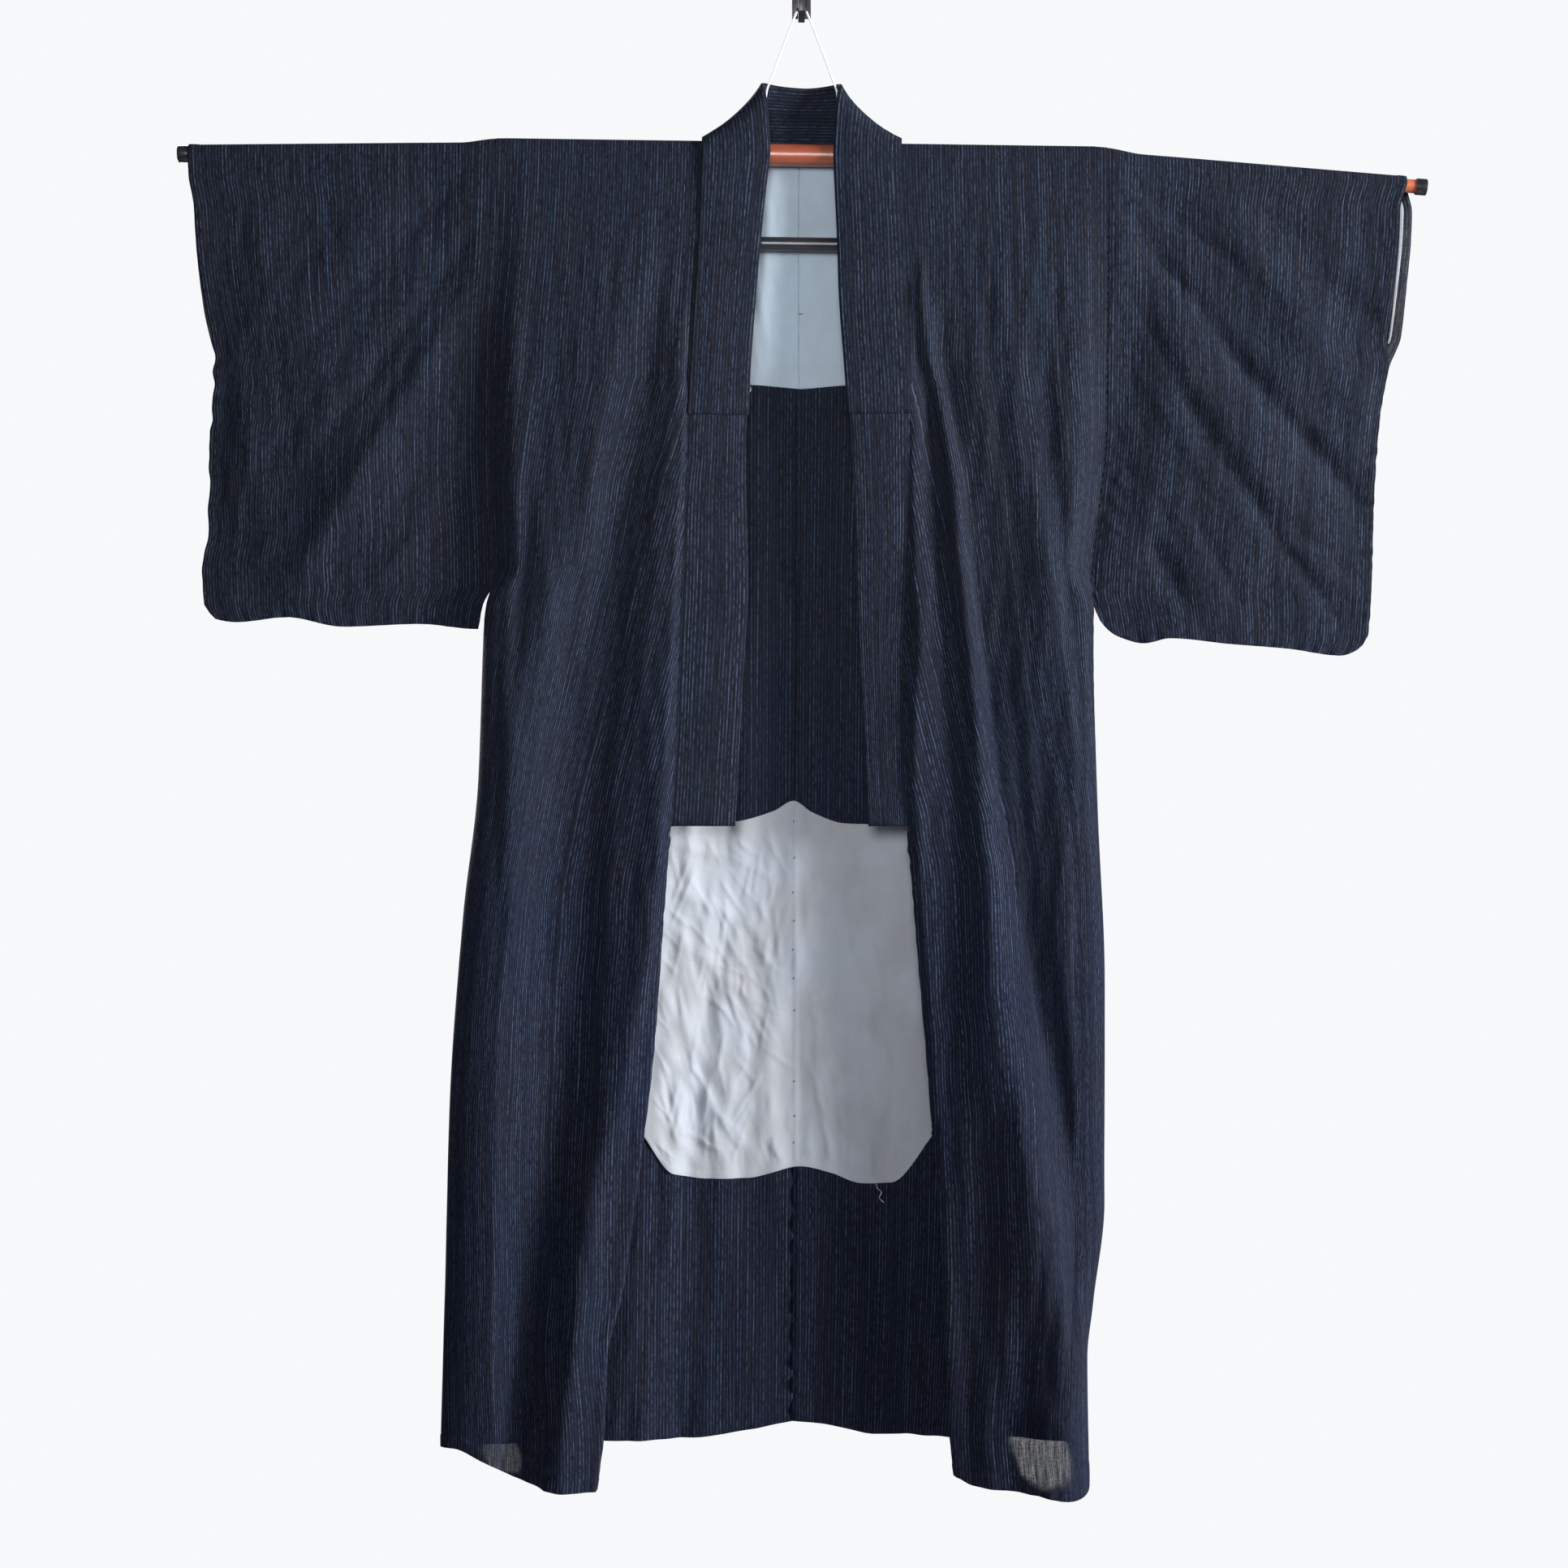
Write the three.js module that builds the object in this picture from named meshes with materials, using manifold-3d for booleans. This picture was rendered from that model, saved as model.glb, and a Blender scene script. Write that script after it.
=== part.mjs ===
// Unlined striped kimono hung open on a telescoping hanger, with the hanger, its cord and a wall hook.
// Millimetres, +Z up. The wall is the plane Y = 0 and the garment hangs in front of it, at Y < 0.
// Left and right are those of somebody who faces the wall. "Drop" is the distance below the rod's centre.

import * as THREE from 'three';
import { mergeVertices } from 'three/addons/utils/BufferGeometryUtils.js';
import Module from 'manifold-3d';

const wasm = await Module();
wasm.setup();

// Driving sizes
const ROD = { y: -40, z: -175 };
const CLOTH = 1.2;
const COLLAR_THICK = 2.0;
const LINING = 1.0;
const SEAM_GAP = 0.3;
const NECK_HALF = 103;
const SHOULDER_HALF = 319;
const ARMHOLE_DROP = 440;
const COLLAR_END_DROP = 702;
const OVER_COLLAR_DROP = 275;
const OKUMI_TOP_DROP = 242;
const BACK_HEM_DROP = 1345;
const OVER_ROD_FRONT = 12.8;
const OVER_ROD_BACK = 15.8;
const OVER_ARM = 8.4;

const TUBE = { r: 11.5, socketR: 10, half: 305, socket: 82, tilt: 0.8 };
const ARM = { r: 7, inside: 79, left: { x: -651, drop: -1.3 }, right: { x: 654, drop: 33.5 } };
const CAP = { r: 8.5, length: 11, seat: 6, leftFrom: 641.6, rightFrom: 643 };
const LOWER_BAR = { r: 7.2, half: 215, drop: 93 };
const LINK = { x: 190, width: 10, depth: 4 };
const CORD = { r: 1.1, steps: 72 };

// Tables. x is the distance out from the middle, drop is below the rod's centre.
const TUBE_FALL = TUBE.half * Math.tan(TUBE.tilt * Math.PI / 180);
const ROD_LINE = [ARM.left, { x: -TUBE.half, drop: -TUBE_FALL },
  { x: TUBE.half, drop: TUBE_FALL }, ARM.right];

const OUTLINE = {
  left: {
    sign: -1,
    side: [
      { drop: 0, x: 319 }, { drop: 92, x: 322 }, { drop: 192, x: 329 }, { drop: 317, x: 331 },
      { drop: 440, x: 326 },
      { drop: 498, x: 330 }, { drop: 656, x: 335 }, { drop: 796, x: 350 }, { drop: 1001, x: 364 },
      { drop: 1161, x: 368 }, { drop: 1332, x: 373 },
    ],
    seam: [
      { drop: 0, x: 319 }, { drop: 92, x: 322 }, { drop: 192, x: 329 }, { drop: 317, x: 331 },
      { drop: 440, x: 326 },
      { drop: 560, x: 312 }, { drop: 800, x: 303 }, { drop: 1345, x: 300 },
    ],
    inner: [
      { drop: -20, x: 103 }, { drop: 0, x: 103 }, { drop: 87, x: 106 }, { drop: 154, x: 110 },
      { drop: 253, x: 116 },
      { drop: 340, x: 121 }, { drop: 445, x: 125 }, { drop: 656, x: 133 }, { drop: 796, x: 143 },
      { drop: 936, x: 153 }, { drop: 1022, x: 163 }, { drop: 1092, x: 172 }, { drop: 1184, x: 185 },
      { drop: 1249, x: 201 }, { drop: 1327, x: 204 }, { drop: 1390, x: 212 },
    ],
    collarFree: [
      { drop: 0, x: 35 }, { drop: 54, x: 41 }, { drop: 154, x: 50 }, { drop: 243, x: 56 },
      { drop: 339, x: 58 },
      { drop: 451, x: 56 }, { drop: 563, x: 62 }, { drop: 703, x: 69 },
    ],
    fold: [{ drop: 300, width: 0 }, { drop: 380, width: 8 }, { drop: 700, width: 9 },
      { drop: 1375, width: 88 }],
    hem: [
      { f: 0, drop: 1345 }, { f: 0.2, drop: 1343 }, { f: 0.3, drop: 1356 }, { f: 0.42, drop: 1375 },
      { f: 0.6, drop: 1386 }, { f: 0.7, drop: 1387 }, { f: 0.76, drop: 1377 }, { f: 1, drop: 1366 },
    ],
    backHem: [{ f: 0, drop: 1333 }, { f: 0.15, drop: 1341 }, { f: 0.35, drop: 1348 },
      { f: 1, drop: 1345 }],
  },
  right: {
    sign: 1,
    side: [
      { drop: 0, x: 319 }, { drop: 281, x: 319 }, { drop: 357, x: 313 }, { drop: 440, x: 304 },
      { drop: 524, x: 303 },
      { drop: 687, x: 307 }, { drop: 857, x: 314 }, { drop: 1092, x: 314 }, { drop: 1196, x: 301 },
      { drop: 1249, x: 294 }, { drop: 1371, x: 296 },
    ],
    seam: [
      { drop: 0, x: 319 }, { drop: 281, x: 319 }, { drop: 357, x: 313 }, { drop: 440, x: 304 },
      { drop: 560, x: 288 },
      { drop: 800, x: 284 }, { drop: 1100, x: 282 }, { drop: 1345, x: 268 },
    ],
    inner: [
      { drop: -20, x: 103 }, { drop: 0, x: 103 }, { drop: 95, x: 106 }, { drop: 158, x: 108 },
      { drop: 280, x: 111 },
      { drop: 377, x: 111 }, { drop: 451, x: 109 }, { drop: 525, x: 105 }, { drop: 637, x: 106 },
      { drop: 692, x: 109 }, { drop: 822, x: 119 }, { drop: 979, x: 132 }, { drop: 1162, x: 145 },
      { drop: 1327, x: 152 }, { drop: 1390, x: 160 },
    ],
    collarFree: [
      { drop: 0, x: 35 }, { drop: 95, x: 39 }, { drop: 154, x: 41 }, { drop: 239, x: 47 },
      { drop: 339, x: 53 },
      { drop: 488, x: 58 }, { drop: 563, x: 62 }, { drop: 702, x: 69 },
    ],
    fold: [{ drop: 700, width: 0 }, { drop: 760, width: 8 }, { drop: 1375, width: 63 }],
    hem: [
      { f: 0, drop: 1345 }, { f: 0.12, drop: 1366 }, { f: 0.18, drop: 1385 }, { f: 0.3, drop: 1391 },
      { f: 0.42, drop: 1387 }, { f: 0.7, drop: 1381 }, { f: 0.77, drop: 1373 }, { f: 1, drop: 1366 },
    ],
    backHem: [{ f: 0, drop: 1333 }, { f: 0.15, drop: 1337 }, { f: 0.3, drop: 1344 },
      { f: 1, drop: 1345 }],
  },
};

// A fold's crest runs through top, mid and bottom. rise is towards the front, width is its half width.
const FRONT_FOLDS = {
  left: [
    { name: 'shoulder to side', top: [140, 165], mid: [660, 272], bottom: [1290, 330],
      width: [34, 34], rise: [9, 20] },
    { name: 'front edge', top: [340, 130], mid: [907, 178], bottom: [1372, 246],
      width: [16, 26], rise: [9, 16] },
    { name: 'below sleeve', top: [400, 300], mid: [640, 322], bottom: [900, 336],
      width: [12, 14], rise: [5, 0] },
    { name: 'hollow', top: [320, 180], mid: [800, 240], bottom: [1280, 292],
      width: [20, 22], rise: [-4, -9] },
  ],
  right: [
    { name: 'collar to hem', top: [180, 116], mid: [760, 187], bottom: [1372, 280],
      width: [24, 26], rise: [8, 20] },
    { name: 'beside collar', top: [270, 119], mid: [400, 127], bottom: [560, 134],
      width: [9, 9], rise: [6, 2] },
    { name: 'side', top: [260, 208], mid: [520, 251], bottom: [820, 288],
      width: [20, 20], rise: [8, 6] },
    { name: 'front edge', top: [900, 148], mid: [1150, 165], bottom: [1380, 190],
      width: [14, 18], rise: [0, 6] },
    { name: 'hollow', top: [480, 210], mid: [800, 245], bottom: [1150, 235],
      width: [18, 20], rise: [-3, -7] },
  ],
};

// The okumi is cut to a point at the collar seam and is 150 wide below the collar.
const OKUMI_CUT = [
  { drop: OKUMI_TOP_DROP, width: 3 }, { drop: 470, width: 62 }, { drop: COLLAR_END_DROP, width: 118 },
  { drop: 960, width: 140 }, { drop: 1200, width: 150 },
];

const BACK_FOLDS = [
  { name: 'left blade', top: [260, -150], mid: [800, -165], bottom: [1340, -180],
    width: [36, 40], rise: [4, 11] },
  { name: 'left inner', top: [700, -70], mid: [1000, -78], bottom: [1340, -88],
    width: [22, 26], rise: [0, 7] },
  { name: 'right blade', top: [260, 140], mid: [800, 152], bottom: [1340, 170],
    width: [36, 40], rise: [4, 10] },
  { name: 'right inner', top: [700, 62], mid: [1000, 70], bottom: [1340, 78],
    width: [20, 24], rise: [0, 6] },
  { name: 'left side', top: [480, -245], mid: [900, -252], bottom: [1340, -250],
    width: [18, 22], rise: [0, -8] },
  { name: 'right side', top: [480, 232], mid: [900, 236], bottom: [1340, 232],
    width: [18, 22], rise: [0, -7] },
];

const SLEEVE = {
  left: {
    sign: -1,
    cuffOpening: 216,
    cuff: [
      { drop: -8, x: 640 }, { drop: 92, x: 634 }, { drop: 159, x: 624 }, { drop: 213, x: 615 },
      { drop: 290, x: 619 },
      { drop: 372, x: 621 }, { drop: 433, x: 627 }, { drop: 470, x: 625 }, { drop: 500, x: 612 },
    ],
    cuffBehind: 1,
    bottom: [
      { x: 326, drop: 494 }, { x: 341, drop: 496 }, { x: 398, drop: 491 }, { x: 479, drop: 494 },
      { x: 538, drop: 484 }, { x: 591, drop: 489 }, { x: 612, drop: 486 }, { x: 627, drop: 468 },
    ],
    inner: [{ drop: 440, x: 326 }, { drop: 460, x: 333 }, { drop: 496, x: 339 }],
    folds: [
      { name: 'long', from: [345, 60], to: [565, 400], width: 20, rise: 5 },
      { name: 'lower', from: [350, 200], to: [500, 440], width: 18, rise: -4 },
      { name: 'cuff', from: [560, 60], to: [590, 430], width: 22, rise: 4 },
    ],
  },
  right: {
    sign: 1,
    cuffOpening: 228,
    cuff: [
      { drop: 20, x: 634 }, { drop: 81, x: 632 }, { drop: 150, x: 625 }, { drop: 213, x: 616 },
      { drop: 275, x: 605 },
      { drop: 355, x: 599 }, { drop: 454, x: 596 }, { drop: 506, x: 592 }, { drop: 530, x: 580 },
    ],
    cuffBehind: 9,
    bottom: [
      { x: 306, drop: 470 }, { x: 312, drop: 486 }, { x: 330, drop: 503 }, { x: 359, drop: 511 },
      { x: 385, drop: 506 }, { x: 447, drop: 512 }, { x: 509, drop: 517 }, { x: 564, drop: 524 },
      { x: 584, drop: 516 }, { x: 594, drop: 500 },
    ],
    inner: [{ drop: 440, x: 304 }, { drop: 470, x: 307 }, { drop: 520, x: 316 }],
    folds: [
      { name: 'upper', from: [330, 45], to: [520, 170], width: 15, rise: 9 },
      { name: 'middle', from: [338, 120], to: [560, 400], width: 18, rise: 10 },
      { name: 'middle hollow', from: [345, 80], to: [560, 290], width: 14, rise: -5 },
      { name: 'lower', from: [335, 250], to: [440, 470], width: 15, rise: 8 },
      { name: 'cuff', from: [470, 60], to: [590, 260], width: 20, rise: 6 },
    ],
  },
};

// The collar from the front, over the shoulder's end of the neck seam, to the middle of the back.
// Each row has the seam edge, the band's middle and its free edge, as x, y from the rod, drop.
const COLLAR_TURN = [
  { seam: [102.3, -15.8, 14], middle: [69, -16.6, 8], free: [35.2, -15.6, 4] },
  { seam: [101.8, -14.5, -6], middle: [69.5, -16, -16], free: [36.2, -15.4, -24] },
  { seam: [101.6, -6, -15.2], middle: [71, -12.5, -30], free: [37.4, -13.6, -46] },
  { seam: [100.4, 8, -14.4], middle: [70.5, -3, -37.5], free: [39.4, -9, -63] },
  { seam: [96, 15.6, -9.5], middle: [65.5, 7, -41], free: [41, -1.5, -71.5] },
  { seam: [84, 17.2, -9], middle: [57, 13, -41], free: [39, 6, -74.5] },
  { seam: [62, 17.6, -9], middle: [43, 16.6, -41.5], free: [30, 13, -74.5] },
  { seam: [30, 17.8, -9], middle: [21, 17.8, -41], free: [15, 16, -73] },
];
const COLLAR_MIDDLE = { seam: [0, 17.8, -9], middle: [0, 18, -41], free: [0, 17, -72.5] };

const YOKE = { half: 180, top: 3, bottom: [{ x: 0, drop: 242 }, { x: 50, drop: 238 },
  { x: 180, drop: 234 }] };
const SEAT = {
  top: [{ x: -152, drop: 704 }, { x: -70, drop: 698 }, { x: -30, drop: 687 },
    { x: -8, drop: 676 }, { x: 11, drop: 688 },
    { x: 47, drop: 700 }, { x: 148, drop: 702 }],
  bottom: [{ x: -168, drop: 1026 }, { x: -135, drop: 1069 }, { x: -98, drop: 1075 },
    { x: -60, drop: 1075 },
    { x: -1, drop: 1063 }, { x: 29, drop: 1069 }, { x: 64, drop: 1080 }, { x: 94, drop: 1079 },
      { x: 140, drop: 1026 }],
  leftEdge: [{ drop: 700, x: -152 }, { drop: 1040, x: -170 }],
  rightEdge: [{ drop: 700, x: 148 }, { drop: 1040, x: 141 }],
};

const CLOTH_COLOUR = 0x252b3b;
const COLLAR_COLOUR = 0x2a2d39;
const YOKE_COLOUR = 0x94a1b2;
const SEAT_COLOUR = 0x9fa3ac;
const TUBE_COLOUR = 0x985443;
const ARM_COLOUR = 0xb05a3c;
const BLACK_COLOUR = 0x26262c;
const CORD_COLOUR = 0xe9e9ea;
const HOOK_COLOUR = 0x1c1c20;

// Helpers
const clamp = (v, lo, hi) => Math.min(Math.max(v, lo), hi);
const lerp = (a, b, t) => a + (b - a) * t;

function ease(a, b, v) {
  const t = clamp((v - a) / (b - a), 0, 1);
  return t * t * (3 - 2 * t);
}

// A smooth curve through a table's rows, with slopes that never overshoot.
function along(table, key, value, v) {
  const last = table.length - 1;
  if (v <= table[0][key]) return table[0][value];
  if (v >= table[last][key]) return table[last][value];
  let i = 0;
  while (table[i + 1][key] < v) i += 1;
  const slope = (k) => {
    if (k < 0 || k >= last) return null;
    return (table[k + 1][value] - table[k][value]) / (table[k + 1][key] - table[k][key]);
  };
  const tangent = (k) => {
    const before = slope(k - 1);
    const after = slope(k);
    if (before === null) return after;
    if (after === null) return before;
    return before * after <= 0 ? 0 : 2 * before * after / (before + after);
  };
  const h = table[i + 1][key] - table[i][key];
  const t = (v - table[i][key]) / h;
  const t2 = t * t;
  const t3 = t2 * t;
  return (2 * t3 - 3 * t2 + 1) * table[i][value] + (t3 - 2 * t2 + t) * h * tangent(i)
    + (3 * t2 - 2 * t3) * table[i + 1][value] + (t3 - t2) * h * tangent(i + 1);
}

function crestAt(fold, drop) {
  const rows = [fold.top, fold.mid, fold.bottom].map(([d, x]) => ({ drop: d, x }));
  return along(rows, 'drop', 'x', drop);
}

// Height of one fold at a place on a panel. It swells from its top end and dies out past its bottom end.
function foldHeight(fold, x, drop) {
  const [d0, d1] = [fold.top[0], fold.bottom[0]];
  const t = clamp((drop - d0) / (d1 - d0), 0, 1);
  const fade = ease(d0 - 90, d0 + 90, drop) * (1 - ease(d1 + 30, d1 + 160, drop));
  const q = (x - crestAt(fold, drop)) / lerp(fold.width[0], fold.width[1], t);
  return lerp(fold.rise[0], fold.rise[1], t) * fade * Math.exp(-q * q);
}

// The rod is straight from end to end of the tube and bends down at the arms.
function rodDrop(x) {
  const i = ROD_LINE.findIndex((row, k) => k === ROD_LINE.length - 2 || x < ROD_LINE[k + 1].x);
  const [a, b] = [ROD_LINE[i], ROD_LINE[i + 1]];
  return lerp(a.drop, b.drop, (x - a.x) / (b.x - a.x));
}

const place = (x, y, drop) => new THREE.Vector3(x, ROD.y + y, ROD.z - drop);

// Depth of the cloth, from the rod's plane, towards the wall being positive
function frontDepth(side, x, drop) {
  const base = along(
    [{ d: 0, y: -OVER_ROD_FRONT }, { d: 100, y: -19 }, { d: 300, y: -27 }, { d: 500, y: -31 },
      { d: 700, y: -36 },
      { d: 1000, y: -44 }, { d: 1400, y: -50 }],
    'd', 'y', drop,
  );
  const folds = FRONT_FOLDS[side].reduce((sum, fold) => sum + foldHeight(fold, x, drop), 0);
  return base - folds * ease(20, 160, drop);
}

function backDepth(x, drop) {
  const middle = along(
    [{ d: 0, y: OVER_ROD_BACK }, { d: 200, y: 19 }, { d: 500, y: 24 }, { d: 900, y: 29 },
      { d: 1345, y: 30 }],
    'd', 'y', drop,
  );
  const flank = along(
    [{ d: 0, y: OVER_ROD_BACK }, { d: 200, y: 15 }, { d: 440, y: 2 }, { d: 900, y: -5 },
      { d: 1345, y: -9 }],
    'd', 'y', drop,
  );
  const out = Math.abs(x + 4) / 300;
  const folds = BACK_FOLDS.reduce((sum, fold) => sum + foldHeight(fold, x, drop), 0);
  return lerp(middle, flank, clamp(out, 0, 1.1) ** 1.25) - folds;
}

// Where a panel's side edge lies: on the armhole above its foot, and in the side seam below it
function sideSeam(side, drop, layer) {
  const table = OUTLINE[side];
  const x = along(table.seam, 'drop', 'x', drop);
  const pinch = (CLOTH + SEAM_GAP) / 2;
  const shut = ease(120, ARMHOLE_DROP, drop);
  const middle = lerp((OVER_ROD_BACK - OVER_ROD_FRONT) / 2, backDepth(table.sign * x, drop), shut);
  const half = lerp((OVER_ROD_BACK + OVER_ROD_FRONT) / 2, pinch, ease(180, ARMHOLE_DROP, drop));
  return { x, y: middle + (layer === 'front' ? -half : half) };
}

// One level of a front: from the side seam, round the outer turn, across, and round the front edge
function frontSection(side, drop) {
  const table = OUTLINE[side];
  const seam = sideSeam(side, drop, 'front');
  const outer = along(table.side, 'drop', 'x', drop);
  const inner = along(table.inner, 'drop', 'x', drop);
  const fold = along(table.fold, 'drop', 'width', drop);
  const turn = ease(ARMHOLE_DROP, ARMHOLE_DROP + 160, drop);
  const faceStart = Math.min(seam.x, outer) - lerp(34, 12, turn);
  const start = { x: faceStart, y: frontDepth(side, faceStart, drop) };
  const bulge = Math.max(0, outer - (seam.x + faceStart) / 2) * turn;
  const points = [];
  const wrapSteps = 16;
  for (let i = 0; i <= wrapSteps; i += 1) {
    const t = i / wrapSteps;
    points.push([
      lerp(seam.x, start.x, t) + bulge * Math.sin(Math.PI * t),
      lerp(seam.y, start.y, (1 - Math.cos(Math.PI * t)) / 2),
    ]);
  }
  const roll = 3.2;
  const faceEnd = inner + (fold > 0 ? roll * ease(0, roll * 2, fold) : 0);
  const faceSteps = 40;
  for (let i = 1; i <= faceSteps; i += 1) {
    const x = lerp(start.x, faceEnd, i / faceSteps);
    points.push([x, frontDepth(side, x, drop)]);
  }
  const turned = Math.min(fold, Math.PI * roll);
  const rollSteps = 8;
  const y0 = frontDepth(side, faceEnd, drop);
  for (let i = 1; i <= rollSteps && fold > 0; i += 1) {
    const angle = turned / roll * i / rollSteps;
    points.push([faceEnd - roll * Math.sin(angle), y0 + roll * (1 - Math.cos(angle))]);
  }
  const back = fold - Math.PI * roll;
  const backSteps = 8;
  for (let i = 1; i <= backSteps && back > 0; i += 1) {
    const x = faceEnd + back * i / backSteps;
    const drift = 1 + 3 * ease(0, 60, back * i / backSteps);
    points.push([x, frontDepth(side, x, drop) + 2 * roll + drift - 1]);
  }
  return points;
}

// A section cut to a place by its length from the front edge
function cutSection(points) {
  const reach = [0];
  for (let i = 1; i < points.length; i += 1) {
    reach.push(reach[i - 1] + Math.hypot(points[i][0] - points[i - 1][0], points[i][1] - points[i - 1][1]));
  }
  const total = reach[reach.length - 1];
  const at = (s) => {
    const want = clamp(s, 0, total);
    let i = 0;
    while (i < points.length - 2 && reach[i + 1] < want) i += 1;
    const t = (want - reach[i]) / (reach[i + 1] - reach[i]);
    return [lerp(points[i][0], points[i + 1][0], t), lerp(points[i][1], points[i + 1][1], t)];
  };
  return { total, at };
}

const okumiWidth = (drop) => (drop < OKUMI_TOP_DROP - 1 ? 0 : along(OKUMI_CUT, 'drop', 'width', drop));

// A point of a front. v runs from the rod (0) to the hem (1), c across a panel from its outer edge (0).
function frontPoint(side, v, panel, c) {
  const { sign, hem } = OUTLINE[side];
  const top = rodDrop(sign * (panel === 'body' ? lerp(SHOULDER_HALF, NECK_HALF, c) : NECK_HALF));
  let drop = v * BACK_HEM_DROP;
  let cut = null;
  let seam = 1;
  let share = c;
  for (let k = 0; k < 3; k += 1) {
    cut = cutSection(frontSection(side, drop));
    seam = 1 - okumiWidth(drop) / cut.total;
    share = panel === 'body' ? c * seam : lerp(seam, 1, c);
    if (k < 2) drop = lerp(top, along(hem, 'f', 'drop', share), v);
  }
  const gap = panel === 'body' && seam < 1 ? c * SEAM_GAP * 1.3 : 0;
  const [x, y] = cut.at(share * cut.total - gap);
  return place(sign * x, y, drop);
}

// Solids
function closedMesh(vertices, triangles) {
  const used = new Map();
  const positions = [];
  const index = triangles.flat().map((v) => {
    if (!used.has(v)) {
      used.set(v, used.size);
      positions.push(...vertices[v].toArray());
    }
    return used.get(v);
  });
  const geometry = new THREE.BufferGeometry();
  geometry.setAttribute('position', new THREE.Float32BufferAttribute(positions, 3));
  geometry.setIndex(index);
  geometry.computeVertexNormals();
  return geometry;
}

// The normal at each point of a grid, from the cells around it
function gridNormals(grid, keep) {
  const normals = grid.map((row) => row.map(() => new THREE.Vector3()));
  const a = new THREE.Vector3();
  const b = new THREE.Vector3();
  for (let i = 0; i < grid.length - 1; i += 1) {
    for (let j = 0; j < grid[0].length - 1; j += 1) {
      if (!keep(i, j)) continue;
      a.subVectors(grid[i + 1][j + 1], grid[i][j]);
      b.subVectors(grid[i + 1][j], grid[i][j + 1]);
      const n = a.cross(b).normalize();
      [[i, j], [i + 1, j], [i, j + 1], [i + 1, j + 1]].forEach(([p, q]) => normals[p][q].add(n));
    }
  }
  return normals.map((row) => row.map((n) => n.normalize()));
}

// A wall of cloth: a grid of middle points, thickened along its normals, open where a cell isn't kept.
// A cell is halved from its first corner, or from its second one where crossed says so.
function sheet(grid, thickness, keep = () => true, crossed = () => false) {
  const rows = grid.length;
  const cols = grid[0].length;
  const normals = gridNormals(grid, keep);
  const cell = (i, j) => i >= 0 && j >= 0 && i < rows - 1 && j < cols - 1 && keep(i, j);
  const vertices = [];
  grid.forEach((row, i) => row.forEach((point, j) => {
    const n = normals[i][j].clone().multiplyScalar(thickness / 2);
    vertices.push(point.clone().add(n), point.clone().sub(n));
  }));
  const top = (i, j) => 2 * (i * cols + j);
  const under = (i, j) => top(i, j) + 1;
  const triangles = [];
  const quad = (p, q, r, s) => triangles.push([p, q, r], [p, r, s]);
  for (let i = 0; i < rows - 1; i += 1) {
    for (let j = 0; j < cols - 1; j += 1) {
      if (!cell(i, j)) continue;
      if (crossed(i, j)) {
        quad(top(i, j + 1), top(i + 1, j + 1), top(i + 1, j), top(i, j));
        quad(under(i + 1, j), under(i + 1, j + 1), under(i, j + 1), under(i, j));
      } else {
        quad(top(i, j), top(i, j + 1), top(i + 1, j + 1), top(i + 1, j));
        quad(under(i, j), under(i + 1, j), under(i + 1, j + 1), under(i, j + 1));
      }
      if (!cell(i, j - 1)) quad(top(i, j), top(i + 1, j), under(i + 1, j), under(i, j));
      if (!cell(i, j + 1)) quad(top(i + 1, j + 1), top(i, j + 1), under(i, j + 1), under(i + 1, j + 1));
      if (!cell(i - 1, j)) quad(top(i, j + 1), top(i, j), under(i, j), under(i, j + 1));
      if (!cell(i + 1, j)) quad(top(i + 1, j), top(i + 1, j + 1), under(i + 1, j + 1), under(i + 1, j));
    }
  }
  const geometry = closedMesh(vertices, triangles);
  return volume(geometry) > 0 ? geometry : turnedInsideOut(geometry);
}

function volume(geometry) {
  const p = geometry.attributes.position;
  const index = geometry.index.array;
  const [a, b, c] = [new THREE.Vector3(), new THREE.Vector3(), new THREE.Vector3()];
  let sum = 0;
  for (let i = 0; i < index.length; i += 3) {
    a.fromBufferAttribute(p, index[i]);
    b.fromBufferAttribute(p, index[i + 1]);
    c.fromBufferAttribute(p, index[i + 2]);
    sum += a.dot(b.cross(c)) / 6;
  }
  return sum;
}

function turnedInsideOut(geometry) {
  const index = geometry.index.array;
  for (let i = 0; i < index.length; i += 3) [index[i + 1], index[i + 2]] = [index[i + 2], index[i + 1]];
  geometry.computeVertexNormals();
  return geometry;
}

const toManifold = (geometry) => {
  const bare = geometry.clone();
  bare.deleteAttribute('normal');
  bare.deleteAttribute('uv');
  const merged = mergeVertices(bare, 1e-4);
  return new wasm.Manifold(new wasm.Mesh({
    numProp: 3,
    vertProperties: Float32Array.from(merged.attributes.position.array),
    triVerts: Uint32Array.from(merged.index.array),
  }));
};

const fromManifold = (solid) => {
  const mesh = solid.getMesh();
  const geometry = new THREE.BufferGeometry();
  geometry.setAttribute('position', new THREE.BufferAttribute(mesh.vertProperties, 3));
  geometry.setIndex(new THREE.BufferAttribute(mesh.triVerts, 1));
  geometry.computeVertexNormals();
  return geometry;
};

const kimono = new THREE.Group();

function add(name, geometry, colour, roughness = 0.9, metalness = 0) {
  const material = new THREE.MeshStandardMaterial({ color: colour, roughness, metalness });
  const mesh = new THREE.Mesh(geometry, material);
  mesh.name = name;
  kimono.add(mesh);
  return mesh;
}

// Body: one length of cloth a side, from the front hem over the rod to the back hem.
// Columns run from the middle of the back (0) out to the side seam.
const NECK_COLUMNS = 4;
const PANEL_COLUMNS = 11;
const YOKE_ROWS = 6;
const FRONT_ROWS = 30;
const BACK_ROWS = 22;
const ROD_ROWS = 6;
const FRONT_LENGTH = 1385;
const SLEEVE_LENGTH = 480;

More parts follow.
